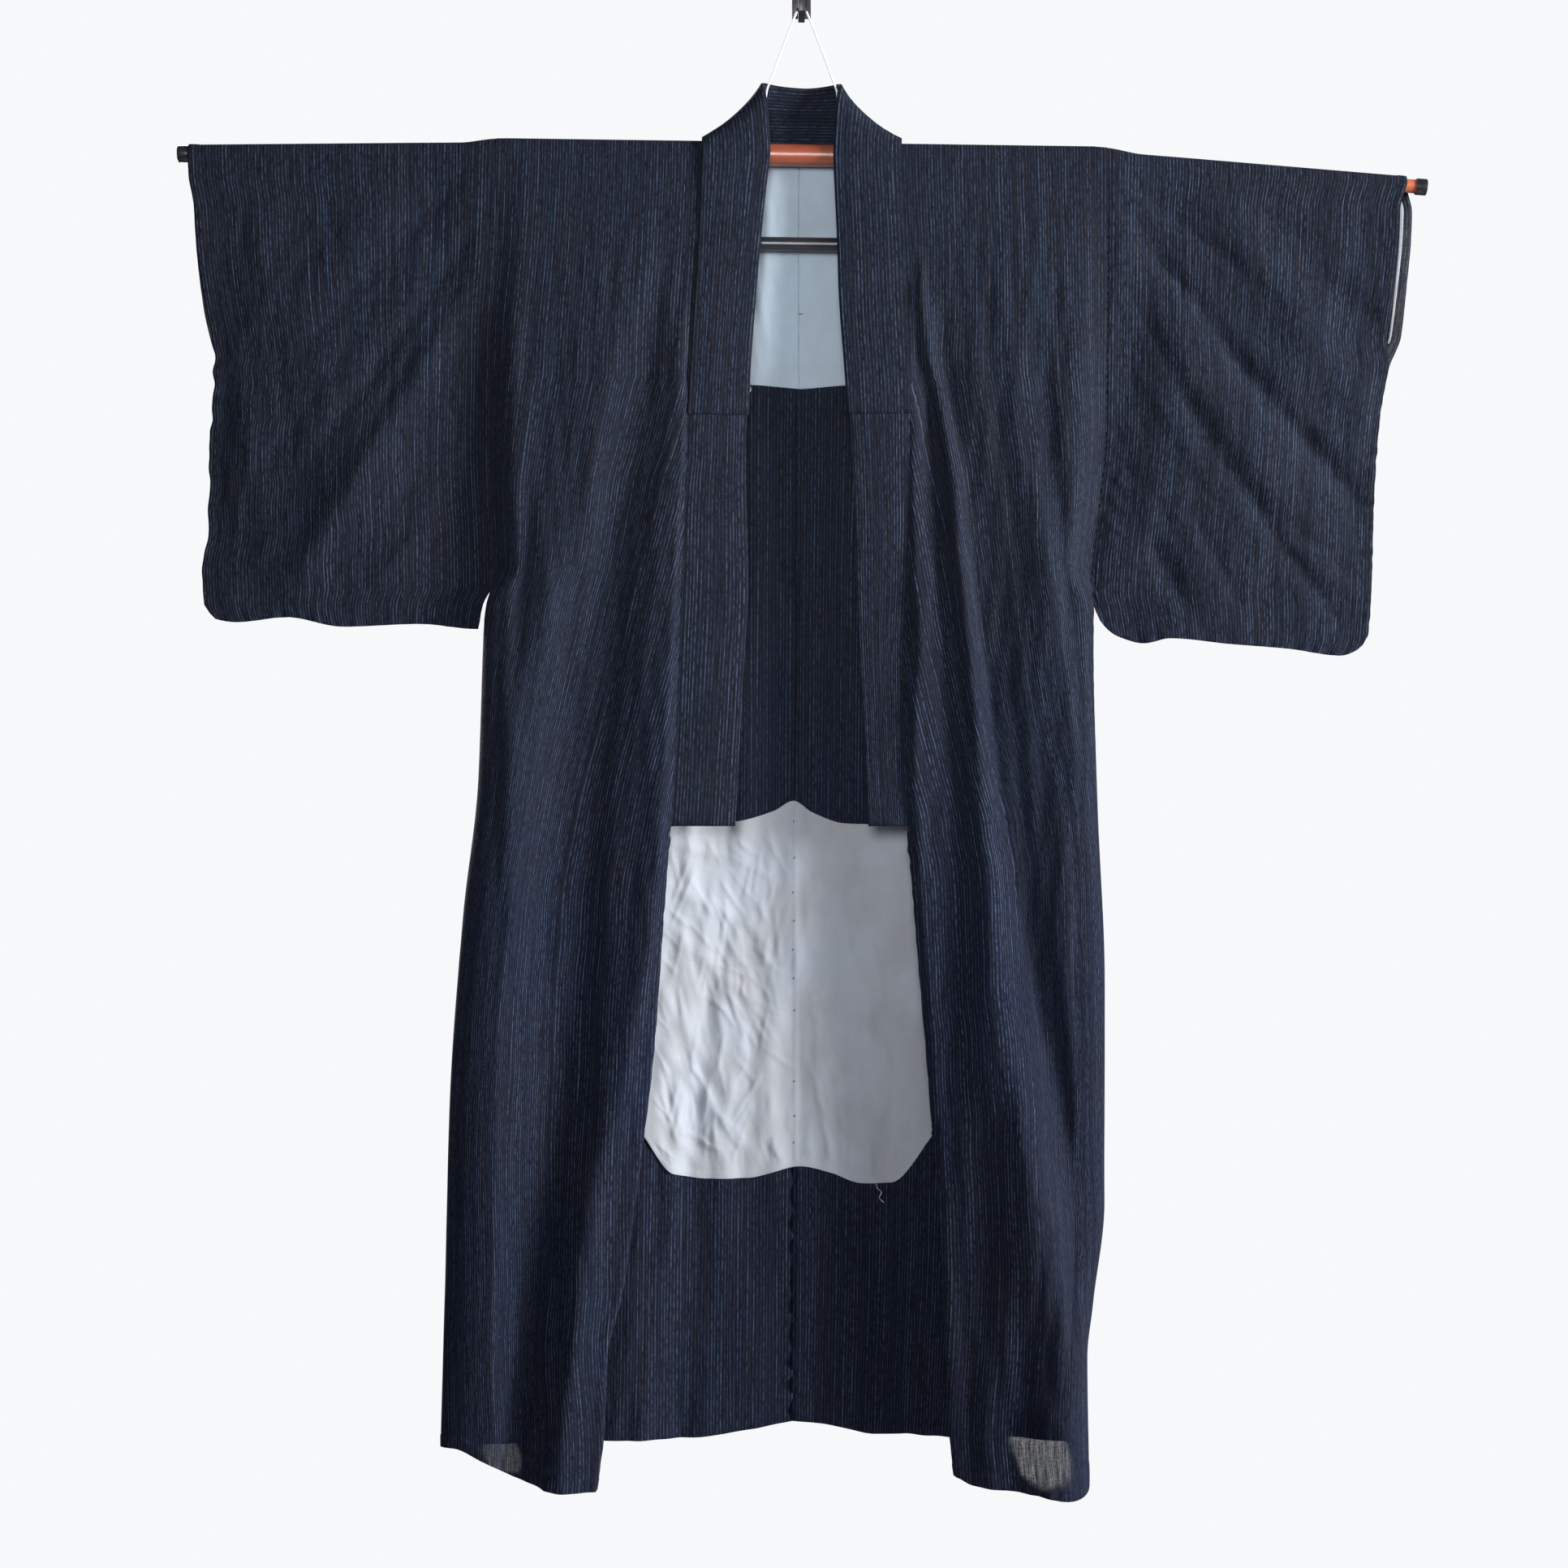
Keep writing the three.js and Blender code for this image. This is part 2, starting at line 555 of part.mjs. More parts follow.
// Levels of the front's rows, one of them at the okumi's point
function frontLevel(i) {
  const point = (OKUMI_TOP_DROP + 2) / FRONT_LENGTH;
  if (i <= YOKE_ROWS) return point * i / YOKE_ROWS;
  return lerp(point, 1, (i - YOKE_ROWS) / (FRONT_ROWS - YOKE_ROWS));
}

function backMiddleX(drop) {
  return lerp(-2, -10, drop / BACK_HEM_DROP);
}

function bodyGrid(side) {
  const table = OUTLINE[side];
  const { sign } = table;
  const columns = NECK_COLUMNS + PANEL_COLUMNS;
  const topX = (j) => (j <= NECK_COLUMNS
    ? lerp(0, NECK_HALF, j / NECK_COLUMNS)
    : lerp(NECK_HALF, SHOULDER_HALF, (j - NECK_COLUMNS) / PANEL_COLUMNS));
  const grid = [];
  for (let i = FRONT_ROWS; i > 0; i -= 1) {
    const row = [];
    for (let j = 0; j <= columns; j += 1) {
      const share = clamp((j - NECK_COLUMNS) / PANEL_COLUMNS, 0, 1);
      row.push(frontPoint(side, frontLevel(i), 'body', 1 - share));
    }
    grid.push(row);
  }
  for (let i = 0; i <= ROD_ROWS; i += 1) {
    const angle = Math.PI * (i / ROD_ROWS - 0.5);
    const row = [];
    for (let j = 0; j <= columns; j += 1) {
      const x = j === 0 ? backMiddleX(0) + sign * SEAM_GAP / 2 : sign * topX(j);
      const r = angle < 0 ? OVER_ROD_FRONT : OVER_ROD_BACK;
      row.push(place(x, r * Math.sin(angle), rodDrop(x) - OVER_ROD_FRONT * Math.cos(angle)));
    }
    grid.push(row);
  }
  for (let i = 1; i <= BACK_ROWS; i += 1) {
    const v = (i / BACK_ROWS) ** 1.05;
    const row = [];
    for (let j = 0; j <= columns; j += 1) {
      const share = topX(j) / SHOULDER_HALF;
      const drop = lerp(rodDrop(sign * topX(j)), along(table.backHem, 'f', 'drop', share), v);
      const seam = sideSeam(side, drop, 'back');
      const x = lerp(backMiddleX(drop) + sign * SEAM_GAP / 2, sign * seam.x, share);
      const edge = ease(0.8, 1, share);
      row.push(place(x, lerp(backDepth(x, drop), seam.y, edge), drop));
    }
    grid.push(row);
  }
  return grid;
}

function addBody(side) {
  const neckRow = FRONT_ROWS + ROD_ROWS - 1;
  const keep = (i, j) => j >= NECK_COLUMNS || i >= neckRow;
  add(`body_${side}`, sheet(bodyGrid(side), CLOTH, keep), CLOTH_COLOUR);
}

// Okumi: the narrow front panel between the body's front and the collar, folded back near the hem
const OKUMI_COLUMNS = 6;

function addOkumi(side) {
  const grid = [];
  for (let i = YOKE_ROWS; i <= FRONT_ROWS; i += 1) {
    const row = [];
    for (let j = 0; j <= OKUMI_COLUMNS; j += 1) {
      const v = frontLevel(i) + (i === YOKE_ROWS ? 0.0008 : 0);
      row.push(frontPoint(side, v, 'okumi', j / OKUMI_COLUMNS));
    }
    grid.push(row);
  }
  add(`okumi_${side}`, sheet(grid, CLOTH), CLOTH_COLOUR);
}

// Sleeves: each one length folded over the arm, its lower edges and the cuff's lower part sewn shut
const SLEEVE_COLUMNS = 13;
const SLEEVE_ROWS = 12;
const ARM_ROWS = 4;

function sleeveFold(fold, x, drop) {
  const [x0, d0] = fold.from;
  const [x1, d1] = fold.to;
  const length = Math.hypot(x1 - x0, d1 - d0);
  const t = ((x - x0) * (x1 - x0) + (drop - d0) * (d1 - d0)) / length ** 2;
  const off = ((x - x0) * (d1 - d0) - (drop - d0) * (x1 - x0)) / length;
  const ends = ease(-0.15, 0.2, t) * (1 - ease(0.85, 1.2, t));
  return fold.rise * ends * Math.exp(-((off / fold.width) ** 2));
}

function sleevePoint(side, share, v, layer) {
  const table = SLEEVE[side];
  const { sign } = table;
  const behind = layer === 'back' ? table.cuffBehind : 0;
  const bodyX = (d) => (d < ARMHOLE_DROP
    ? along(OUTLINE[side].seam, 'drop', 'x', d)
    : along(table.inner, 'drop', 'x', d)) + CLOTH / 2 + SEAM_GAP;
  let drop = v * SLEEVE_LENGTH;
  let x = 0;
  for (let k = 0; k < 4; k += 1) {
    const parted = 1 - ease(table.cuffOpening - 40, table.cuffOpening, drop);
    const cuffX = along(table.cuff, 'drop', 'x', drop) + behind * parted * ease(20, 60, drop);
    x = lerp(bodyX(drop), cuffX, share);
    drop = lerp(rodDrop(sign * x), along(table.bottom, 'x', 'drop', x), v);
  }
  const bottom = along(table.bottom, 'x', 'drop', x);
  const pinch = (CLOTH + SEAM_GAP) / 2;
  const armhole = {
    front: sideSeam(side, drop, 'front').y,
    back: sideSeam(side, drop, 'back').y,
  };
  const open = drop < ARMHOLE_DROP;
  const foot = sideSeam(side, ARMHOLE_DROP, 'back').y - pinch;
  const middleAtBody = open ? (armhole.front + armhole.back) / 2 : foot;
  const halfAtBody = open ? (armhole.back - armhole.front) / 2 : pinch;
  const topHalf = lerp(OVER_ROD_FRONT, OVER_ARM, ease(0, 0.12, share));
  const shut = 1 - ease(bottom - 170, bottom - 6, drop);
  const fullness = lerp(topHalf, 11, ease(0, 140, drop)) * shut + pinch;
  const cuffShut = ease(0.7, 1, share) * ease(table.cuffOpening - 90, table.cuffOpening, drop);
  const half = lerp(halfAtBody, lerp(fullness, pinch, cuffShut), ease(0, 0.22, share));
  const sway = -5 * ease(30, 300, drop) * Math.sin(Math.PI * clamp(share, 0, 1));
  const middle = lerp(middleAtBody, sway - 2 * ease(0, 200, drop), ease(0, 0.3, share));
  const folds = table.folds.reduce((sum, fold) => sum + sleeveFold(fold, x, drop), 0)
    * ease(0.02, 0.2, share) * (1 - ease(0.93, 1, share)) * (1 - ease(bottom - 60, bottom - 4, drop));
  const y = layer === 'front' ? middle - half - folds : middle + half - folds * 0.5;
  return place(sign * x, y, drop);
}

function addSleeve(side) {
  const table = SLEEVE[side];
  const shares = [];
  for (let j = 0; j <= SLEEVE_COLUMNS; j += 1) shares.push(j / SLEEVE_COLUMNS);
  const grid = [];
  for (let i = 0; i < SLEEVE_ROWS; i += 1) {
    const v = 1 - i / SLEEVE_ROWS;
    grid.push(shares.map((share) => sleevePoint(side, share, v, 'front')));
  }
  for (let i = 0; i <= ARM_ROWS; i += 1) {
    const angle = Math.PI * (i / ARM_ROWS - 0.5);
    grid.push(shares.map((share) => {
      const front = sleevePoint(side, share, 0, 'front');
      const back = sleevePoint(side, share, 0, 'back');
      const half = (back.y - front.y) / 2;
      const x = table.sign * Math.abs(front.x);
      const middle = (front.y + back.y) / 2 - ROD.y;
      const lift = Math.min(half, lerp(OVER_ROD_FRONT, OVER_ARM + 0.6, ease(0, 0.12, share)));
      return place(x, middle + half * Math.sin(angle), rodDrop(x) - lift * Math.cos(angle));
    }));
  }
  for (let i = 1; i <= SLEEVE_ROWS; i += 1) {
    const v = i / SLEEVE_ROWS;
    grid.push(shares.map((share) => sleevePoint(side, share, v, 'back')));
  }
  add(`sleeve_${side}`, sheet(grid, CLOTH), CLOTH_COLOUR);
}

// Collar: a long folded band from one front, round the neck, to the other front
function collarSection(side, drop) {
  const table = OUTLINE[side];
  const { sign } = table;
  const [endX, endY] = frontSection(side, drop).at(-1);
  const tucked = ease(0, 6, drop < COLLAR_END_DROP + 1 ? along(table.fold, 'drop', 'width', drop) : 0);
  const seam = [endX - lerp(2 * SEAM_GAP + CLOTH / 2, -1.5, tucked), endY + 2.6 * tucked, drop];
  const free = [along(table.collarFree, 'drop', 'x', drop), seam[1] + 1.5, drop];
  const middle = [(seam[0] + free[0]) / 2, (seam[1] + free[1]) / 2 - 1.6, drop];
  return Object.fromEntries(Object.entries({ seam, middle, free })
    .map(([key, [x, y, d]]) => [key, place(sign * x, y, d)]));
}

// Levels of the collar's rows on a front, one of them at the over-collar's end
const COLLAR_LEVELS = [702, 645, 590, 535, 480, 425, 375, 325, OVER_COLLAR_DROP, 230, 185, 140, 95, 60, 35];

// One row of the band with its three places changed the same way
const mapRow = (row, change) => Object.fromEntries(
  Object.entries(row).map(([key, value]) => [key, change(value)]),
);

function collarSpine(fromDrop) {
  const half = (side) => {
    const { sign } = OUTLINE[side];
    const rows = COLLAR_LEVELS.filter((drop) => drop <= fromDrop).map((drop) => collarSection(side, drop));
    const placed = ([x, y, drop]) => place(sign * x, y, drop + rodDrop(sign * x));
    COLLAR_TURN.forEach((turn) => rows.push(mapRow(turn, placed)));
    return rows;
  };
  const middle = mapRow(COLLAR_MIDDLE, ([x, y, drop]) => place(x, y, drop));
  return [...half('left'), middle, ...half('right').reverse()];
}

// A point across the band: 0 at the seam, 1 at the free edge, on a bow through the band's middle
function acrossBand(row, w) {
  const q = [(1 - w) * (1 - 2 * w), 4 * w * (1 - w), w * (2 * w - 1)];
  return new THREE.Vector3()
    .addScaledVector(row.seam, q[0])
    .addScaledVector(row.middle, q[1])
    .addScaledVector(row.free, q[2]);
}

const BAND_WIDTHS = [0, 0.33, 0.67, 1];
const bandGrid = (fromDrop) => collarSpine(fromDrop)
  .map((row) => BAND_WIDTHS.map((w) => acrossBand(row, w)));

function addCollar() {
  add('collar', sheet(bandGrid(COLLAR_END_DROP), COLLAR_THICK), COLLAR_COLOUR);
}

// Over-collar: a second band folded round the first, from its seam round the free edge to its inner side
function addOverCollar() {
  const band = bandGrid(OVER_COLLAR_DROP);
  const normals = gridNormals(band, () => true);
  const off = COLLAR_THICK / 2 + 2 * SEAM_GAP + CLOTH / 2;
  const grid = band.map((points, i) => {
    const [seam, , inner, free] = points;
    const edgeOut = free.clone().sub(inner).normalize();
    const face = (way) => {
      const moved = points.map((p, j) => p.clone().addScaledVector(normals[i][j], way * off));
      moved[0].lerp(moved[1], 1.5 / seam.distanceTo(points[1]));
      return moved;
    };
    const round = (way, out) => free.clone()
      .addScaledVector(normals[i][3], way * off)
      .addScaledVector(edgeOut, out * off);
    return [...face(1), round(0.72, 0.72), round(0, 1), round(-0.72, 0.72), ...face(-1).reverse()];
  });
  const firstInner = BAND_WIDTHS.length + 3;
  add('over_collar', sheet(grid, CLOTH, () => true, (i, j) => j >= firstInner), COLLAR_COLOUR);
}

// Linings inside the back: made from the back's own points, moved out towards the front
function onBack(x, drop, lining) {
  const step = 0.5;
  const slopeX = (backDepth(x + step, drop) - backDepth(x - step, drop)) / (2 * step);
  const off = CLOTH / 2 + SEAM_GAP + lining / 2 + 0.25;
  return place(x, backDepth(x, drop) - off * Math.hypot(1, slopeX), drop);
}

function addYokeLining(side) {
  const { sign } = OUTLINE[side];
  const grid = [];
  for (let i = 0; i <= 8; i += 1) {
    const row = [];
    for (let j = 0; j <= 6; j += 1) {
      const x = backMiddleX(100) + sign * (SEAM_GAP / 2 + YOKE.half * j / 6);
      row.push(onBack(x, lerp(YOKE.top, along(YOKE.bottom, 'x', 'drop', Math.abs(x)), i / 8), LINING));
    }
    grid.push(row);
  }
  add(`yoke_lining_${side}`, sheet(grid, LINING), YOKE_COLOUR);
}

function addSeatLining() {
  const grid = [];
  for (let i = 0; i <= 14; i += 1) {
    const v = i / 14;
    const row = [];
    for (let j = 0; j <= 16; j += 1) {
      let drop = lerp(700, 1070, v);
      let x = 0;
      for (let k = 0; k < 2; k += 1) {
        x = lerp(along(SEAT.leftEdge, 'drop', 'x', drop), along(SEAT.rightEdge, 'drop', 'x', drop), j / 16);
        drop = lerp(along(SEAT.top, 'x', 'drop', x), along(SEAT.bottom, 'x', 'drop', x), v);
      }
      row.push(onBack(x, drop, LINING));
    }
    grid.push(row);
  }
  add('seat_lining', sheet(grid, LINING), SEAT_COLOUR);
}

['left', 'right'].forEach((side) => {
  addBody(side);
  addOkumi(side);
  addSleeve(side);
  addYokeLining(side);
});
addCollar();
addOverCollar();
addSeatLining();

// Hanger: a centre tube with a socket in each end, an arm in each socket, a lower bar on two links
const alongX = (geometry) => geometry.rotateZ(-Math.PI / 2);
const tilt = THREE.MathUtils.degToRad(TUBE.tilt);
const hanger = new THREE.Group();
hanger.position.set(0, ROD.y, ROD.z);
hanger.rotation.y = tilt;
kimono.add(hanger);

function addToHanger(name, geometry, colour, x, drop) {
  const mesh = add(name, geometry, colour, 0.35);
  hanger.add(mesh);
  mesh.position.set(x, 0, -drop);
  return mesh;
}

function addTube() {
  const { r, socketR, half, socket } = TUBE;
  const profile = [
    [0, socket - half], [socketR, socket - half], [socketR, -half], [r, -half],
    [r, half], [socketR, half], [socketR, half - socket], [0, half - socket],
  ].map(([radius, axial]) => new THREE.Vector2(radius, axial));
  addToHanger('centre_tube', alongX(new THREE.LatheGeometry(profile, 24)), TUBE_COLOUR, 0, 0);
}

function addLowerBar() {
  const { r, half, drop } = LOWER_BAR;
  const chamfer = 1.2;
  const profile = [
    [0, -half], [r - chamfer, -half], [r, chamfer - half],
    [r, half - chamfer], [r - chamfer, half], [0, half],
  ].map(([radius, axial]) => new THREE.Vector2(radius, axial));
  addToHanger('lower_bar', alongX(new THREE.LatheGeometry(profile, 16)), BLACK_COLOUR, 0, drop);
  const top = TUBE.r + SEAM_GAP;
  const bottom = drop - r - SEAM_GAP;
  [-1, 1].forEach((sign) => {
    const link = new THREE.BoxGeometry(LINK.width, LINK.depth, bottom - top);
    const name = `bar_link_${sign < 0 ? 'left' : 'right'}`;
    addToHanger(name, link, BLACK_COLOUR, sign * LINK.x, (top + bottom) / 2);
  });
}

// An arm slopes down from its socket: it bears on the socket's lip below and on its roof further in
function addArm(side) {
  const end = ARM[side];
  const sign = Math.sign(end.x);
  const capFrom = CAP[`${side}From`];
  const mouthX = sign * TUBE.half * Math.cos(tilt);
  const mouthDrop = TUBE.half * Math.sin(tilt) * sign + (TUBE.socketR - ARM.r - SEAM_GAP);
  const dir = new THREE.Vector2(end.x - mouthX, end.drop - mouthDrop).normalize();
  const capStart = (capFrom - Math.abs(mouthX)) / Math.abs(dir.x);
  const length = ARM.inside + capStart + CAP.seat;
  const centre = (capStart + CAP.seat - ARM.inside) / 2;
  const profile = [[0, -length / 2], [ARM.r - 0.6, -length / 2], [ARM.r, 0.6 - length / 2],
    [ARM.r, length / 2], [0, length / 2]].map(([radius, axial]) => new THREE.Vector2(radius, axial));
  const angle = Math.atan2(-dir.y, dir.x);
  const arm = add(`arm_${side}`, alongX(new THREE.LatheGeometry(profile, 16)), ARM_COLOUR, 0.4);
  arm.position.set(mouthX + dir.x * centre, ROD.y, ROD.z - mouthDrop - dir.y * centre);
  arm.rotation.y = -angle;
  const bore = ARM.r + SEAM_GAP;
  const depth = CAP.seat + SEAM_GAP;
  const cup = [[0, depth], [bore, depth], [bore, 0], [CAP.r - 0.8, 0], [CAP.r, 0.8],
    [CAP.r, CAP.length - 2], [CAP.r - 2, CAP.length], [0, CAP.length]]
    .map(([radius, axial]) => new THREE.Vector2(radius, axial));
  const cap = add(`cap_${side}`, alongX(new THREE.LatheGeometry(cup, 16)), BLACK_COLOUR, 0.4);
  cap.position.set(mouthX + dir.x * capStart, ROD.y, ROD.z - mouthDrop - dir.y * capStart);
  cap.rotation.y = -angle;
}

addTube();
addLowerBar();
addArm('left');
addArm('right');

// Hanger cord: from an eye on the tube, up inside the neck, over the hook's saddle, and down the same way
const EYE = { x: 37.6, r: 3, height: 5 };
const SADDLE = { z: -25.5, seat: 3.6, flange: 6.2, groove: 3, wall: 1.8 };
const CORD_ARC = SADDLE.seat + SEAM_GAP + CORD.r;
const NECK_POINT = { x: 37.4, z: ROD.z + 70 };

function addEye(sign) {
  const x = sign * EYE.x;
  const foot = -rodDrop(x) + TUBE.r + SEAM_GAP;
  const eye = new THREE.CylinderGeometry(EYE.r, EYE.r, EYE.height, 10).rotateX(Math.PI / 2);
  const mesh = add(`cord_eye_${sign < 0 ? 'left' : 'right'}`, eye, BLACK_COLOUR, 0.5);
  mesh.position.set(x, ROD.y, ROD.z + foot + EYE.height / 2);
}

function addCord() {
  const lean = Math.atan2(NECK_POINT.x - CORD_ARC, SADDLE.z - NECK_POINT.z);
  const strand = (sign) => {
    const foot = ROD.z - rodDrop(sign * EYE.x) + TUBE.r + EYE.height + 2 * SEAM_GAP;
    return [
      [sign * EYE.x, foot], [sign * EYE.x, foot + 18], [sign * EYE.x, NECK_POINT.z - 22],
      [sign * NECK_POINT.x, NECK_POINT.z - 8], [sign * (NECK_POINT.x - 1.5), NECK_POINT.z],
      [sign * (NECK_POINT.x - 5), NECK_POINT.z + 9],
      [sign * lerp(NECK_POINT.x, CORD_ARC, 0.5), lerp(NECK_POINT.z, SADDLE.z, 0.5)],
      [sign * (CORD_ARC * Math.cos(lean) + 2.2), SADDLE.z + CORD_ARC * Math.sin(lean) - 5],
    ];
  };
  const arc = [];
  for (let i = 0; i <= 6; i += 1) {
    const angle = Math.PI - lean - (Math.PI - 2 * lean) * i / 6;
    arc.push([CORD_ARC * Math.cos(angle), SADDLE.z + CORD_ARC * Math.sin(angle)]);
  }
  const points = [...strand(-1), ...arc, ...strand(1).reverse()]
    .map(([x, z]) => new THREE.Vector3(x, ROD.y, z));
  const path = new THREE.CatmullRomCurve3(points, false, 'centripetal');
  const ring = new THREE.Shape();
  ring.absarc(0, 0, CORD.r, 0, 2 * Math.PI);
  const tube = new THREE.ExtrudeGeometry(ring, { steps: CORD.steps, curveSegments: 4, extrudePath: path });
  add('hanger_cord', tube, CORD_COLOUR, 0.8);
}

// Wall hook: a plate on the wall, a straight arm, a grooved half-round saddle and an upturned tip
function addHook() {
  const box = (sx, sy, sz, y, z) => toManifold(new THREE.BoxGeometry(sx, sy, sz).translate(0, y, z));
  const cutLine = -24.6;
  const plate = { width: 20, height: 40, thick: 3 };
  const bar = { width: 7, top: -18.8 };
  const grooveBack = ROD.y + SADDLE.groove / 2;
  const grooveFront = ROD.y - SADDLE.groove / 2;
  const frontFace = grooveFront - SADDLE.wall - 1.4;
  const profile = [
    [0, grooveFront - SADDLE.wall], [SADDLE.flange, grooveFront - SADDLE.wall],
    [SADDLE.flange, grooveFront],
    [SADDLE.seat, grooveFront], [SADDLE.seat, grooveBack], [SADDLE.flange, grooveBack],
    [SADDLE.flange, grooveBack + SADDLE.wall], [0, grooveBack + SADDLE.wall],
  ].map(([radius, axial]) => new THREE.Vector2(radius, axial));
  const wheel = toManifold(new THREE.LatheGeometry(profile, 28).translate(0, 0, SADDLE.z));
  const below = box(30, 30, 20, ROD.y, cutLine - 10);
  const barMiddle = (cutLine + bar.top) / 2;
  const barHeight = bar.top - cutLine;
  const armLength = -plate.thick - (grooveBack + 0.4);
  const arm = box(bar.width, armLength, barHeight, -plate.thick - armLength / 2 + 0.2, barMiddle);
  const tipThick = grooveFront - 0.4 - frontFace;
  const tip = box(bar.width, tipThick, 22, frontFace + tipThick / 2, cutLine + 11);
  const back = box(plate.width, plate.thick, plate.height, -plate.thick / 2, 0);
  const hook = wheel.subtract(below).add(arm).add(tip).add(back);
  add('wall_hook', fromManifold(hook), HOOK_COLOUR, 0.5, 0.3);
}

addEye(-1);
addEye(1);
addCord();
addHook();

kimono.updateMatrixWorld(true);

export default kimono;
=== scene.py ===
# Unlined striped kimono hung open on a telescoping hanger, with the hanger, its cord and a wall hook.
import math

import bpy
import numpy as np
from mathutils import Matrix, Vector


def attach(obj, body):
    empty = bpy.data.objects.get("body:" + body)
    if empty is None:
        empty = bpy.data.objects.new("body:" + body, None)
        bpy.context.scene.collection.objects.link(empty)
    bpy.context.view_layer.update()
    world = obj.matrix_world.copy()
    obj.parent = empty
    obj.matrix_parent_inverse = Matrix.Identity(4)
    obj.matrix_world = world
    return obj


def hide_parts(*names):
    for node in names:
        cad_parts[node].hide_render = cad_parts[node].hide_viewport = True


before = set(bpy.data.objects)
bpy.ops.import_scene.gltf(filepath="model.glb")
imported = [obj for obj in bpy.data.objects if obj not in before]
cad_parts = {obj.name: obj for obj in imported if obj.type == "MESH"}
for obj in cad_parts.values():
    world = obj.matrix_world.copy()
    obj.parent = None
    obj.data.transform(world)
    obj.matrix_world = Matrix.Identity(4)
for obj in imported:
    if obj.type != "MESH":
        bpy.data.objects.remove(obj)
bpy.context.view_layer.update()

MM = 0.001

# Driving sizes, in millimetres. "Drop" is the distance below the rod's centre.
ROD_Y, ROD_Z = -40.0, -175.0
CLOTH, COLLAR_THICK, LINING, SEAM_GAP = 1.2, 2.0, 1.0, 0.3
NECK_HALF, SHOULDER_HALF = 103.0, 319.0
ARMHOLE_DROP, COLLAR_END_DROP, OVER_COLLAR_DROP, OKUMI_TOP_DROP = 440.0, 702.0, 275.0, 242.0
BACK_HEM_DROP, FRONT_LENGTH = 1345.0, 1385.0
SLEEVE_DEEP, SLEEVE_HANGS = 490.0, 480.0
OVER_ROD_FRONT, OVER_ROD_BACK, OVER_ARM = 12.8, 15.8, 8.4
TUBE_R, SOCKET_R, TUBE_HALF, SOCKET_DEEP = 11.5, 10.0, 305.0, 82.0
TILT = math.radians(0.8)
ARM_R, ARM_INSIDE = 7.0, 79.0
ARM_END = {"left": (-651.0, -1.3), "right": (654.0, 33.5)}
CAP_R, CAP_LONG, CAP_SEAT = 8.5, 11.0, 6.0
CAP_FROM = {"left": 641.6, "right": 643.0}
BAR_R, BAR_HALF, BAR_DROP = 7.2, 215.0, 93.0
LINK_X, LINK_WIDE, LINK_DEEP = 190.0, 10.0, 4.0
CORD_R = 1.1
ROLL = 3.2

# Camera: the photograph is taken square to the wall from 2.6 m
CAMERA_X, CAMERA_DROP, CAMERA_FAR = -18.45, 658.3, 2600.0
LENS, SENSOR = 57.0, 36.0

camera_data = bpy.data.cameras.new("camera")
camera_data.lens = LENS
camera_data.sensor_width = SENSOR
camera = bpy.data.objects.new("camera", camera_data)
camera.location = Vector((CAMERA_X, ROD_Y - CAMERA_FAR, ROD_Z - CAMERA_DROP)) * MM
camera.rotation_euler = (math.pi / 2, 0, 0)
bpy.context.scene.collection.objects.link(camera)
bpy.context.scene.camera = camera


# Small maths
def lerp(a, b, t):
    return a + (b - a) * t


def ease(a, b, v):
    t = np.clip((v - a) / (b - a), 0, 1)
    return t * t * (3 - 2 * t)


def hermite(t, a, b, slope_a, slope_b):
    """A smooth step from a to b that leaves and arrives with the given slopes."""
    t2, t3 = t * t, t * t * t
    return (
        (2 * t3 - 3 * t2 + 1) * a + (t3 - 2 * t2 + t) * slope_a
        + (3 * t2 - 2 * t3) * b + (t3 - t2) * slope_b
    )


def along(table, v):
    """A smooth curve through a table's rows (place, value), with slopes that never overshoot."""
    places, values = np.array(table, float).T
    slopes = np.diff(values) / np.diff(places)
    same = slopes[:-1] * slopes[1:] > 0
    both = np.where(same, slopes[:-1] + slopes[1:], 1)
    inner = np.where(same, 2 * slopes[:-1] * slopes[1:] / both, 0)
    tangents = np.concatenate([slopes[:1], inner, slopes[-1:]])
    v = np.clip(v, places[0], places[-1])
    i = np.clip(np.searchsorted(places, v, side="right") - 1, 0, len(places) - 2)
    h = places[i + 1] - places[i]
    return hermite((v - places[i]) / h, values[i], values[i + 1], h * tangents[i], h * tangents[i + 1])


def spline(points, per):
    """Points on a centripetal curve through the given ones, per of them to each stretch."""
    p = np.asarray(points, float)
    p = np.vstack([2 * p[0] - p[1], p, 2 * p[-1] - p[-2]])
    gap = np.linalg.norm(np.diff(p, axis=0), axis=1) ** 0.5
    out = []
    t = np.arange(per)[:, None] / per
    for i in range(1, len(p) - 2):
        d0, d1, d2 = gap[i - 1], gap[i], gap[i + 1]
        m0 = ((p[i] - p[i - 1]) / d0 - (p[i + 1] - p[i - 1]) / (d0 + d1) + (p[i + 1] - p[i]) / d1) * d1
        m1 = ((p[i + 1] - p[i]) / d1 - (p[i + 2] - p[i]) / (d1 + d2) + (p[i + 2] - p[i + 1]) / d2) * d1
        out.append(hermite(t, p[i], p[i + 1], m0, m1))
    return np.vstack(out + [p[-2][None]])


def reach_along(points):
    """The length along a line up to each of its points."""
    return np.concatenate([[0], np.cumsum(np.linalg.norm(np.diff(points, axis=0), axis=1))])


def picked(at, reach, points):
    """Points of a line at the given lengths along it."""
    return np.stack([np.interp(at, reach, column) for column in points.T], axis=1)


def resample(points, count):
    """Evenly spaced points along a line."""
    reach = reach_along(points)
    return picked(np.linspace(0, reach[-1], count), reach, points)


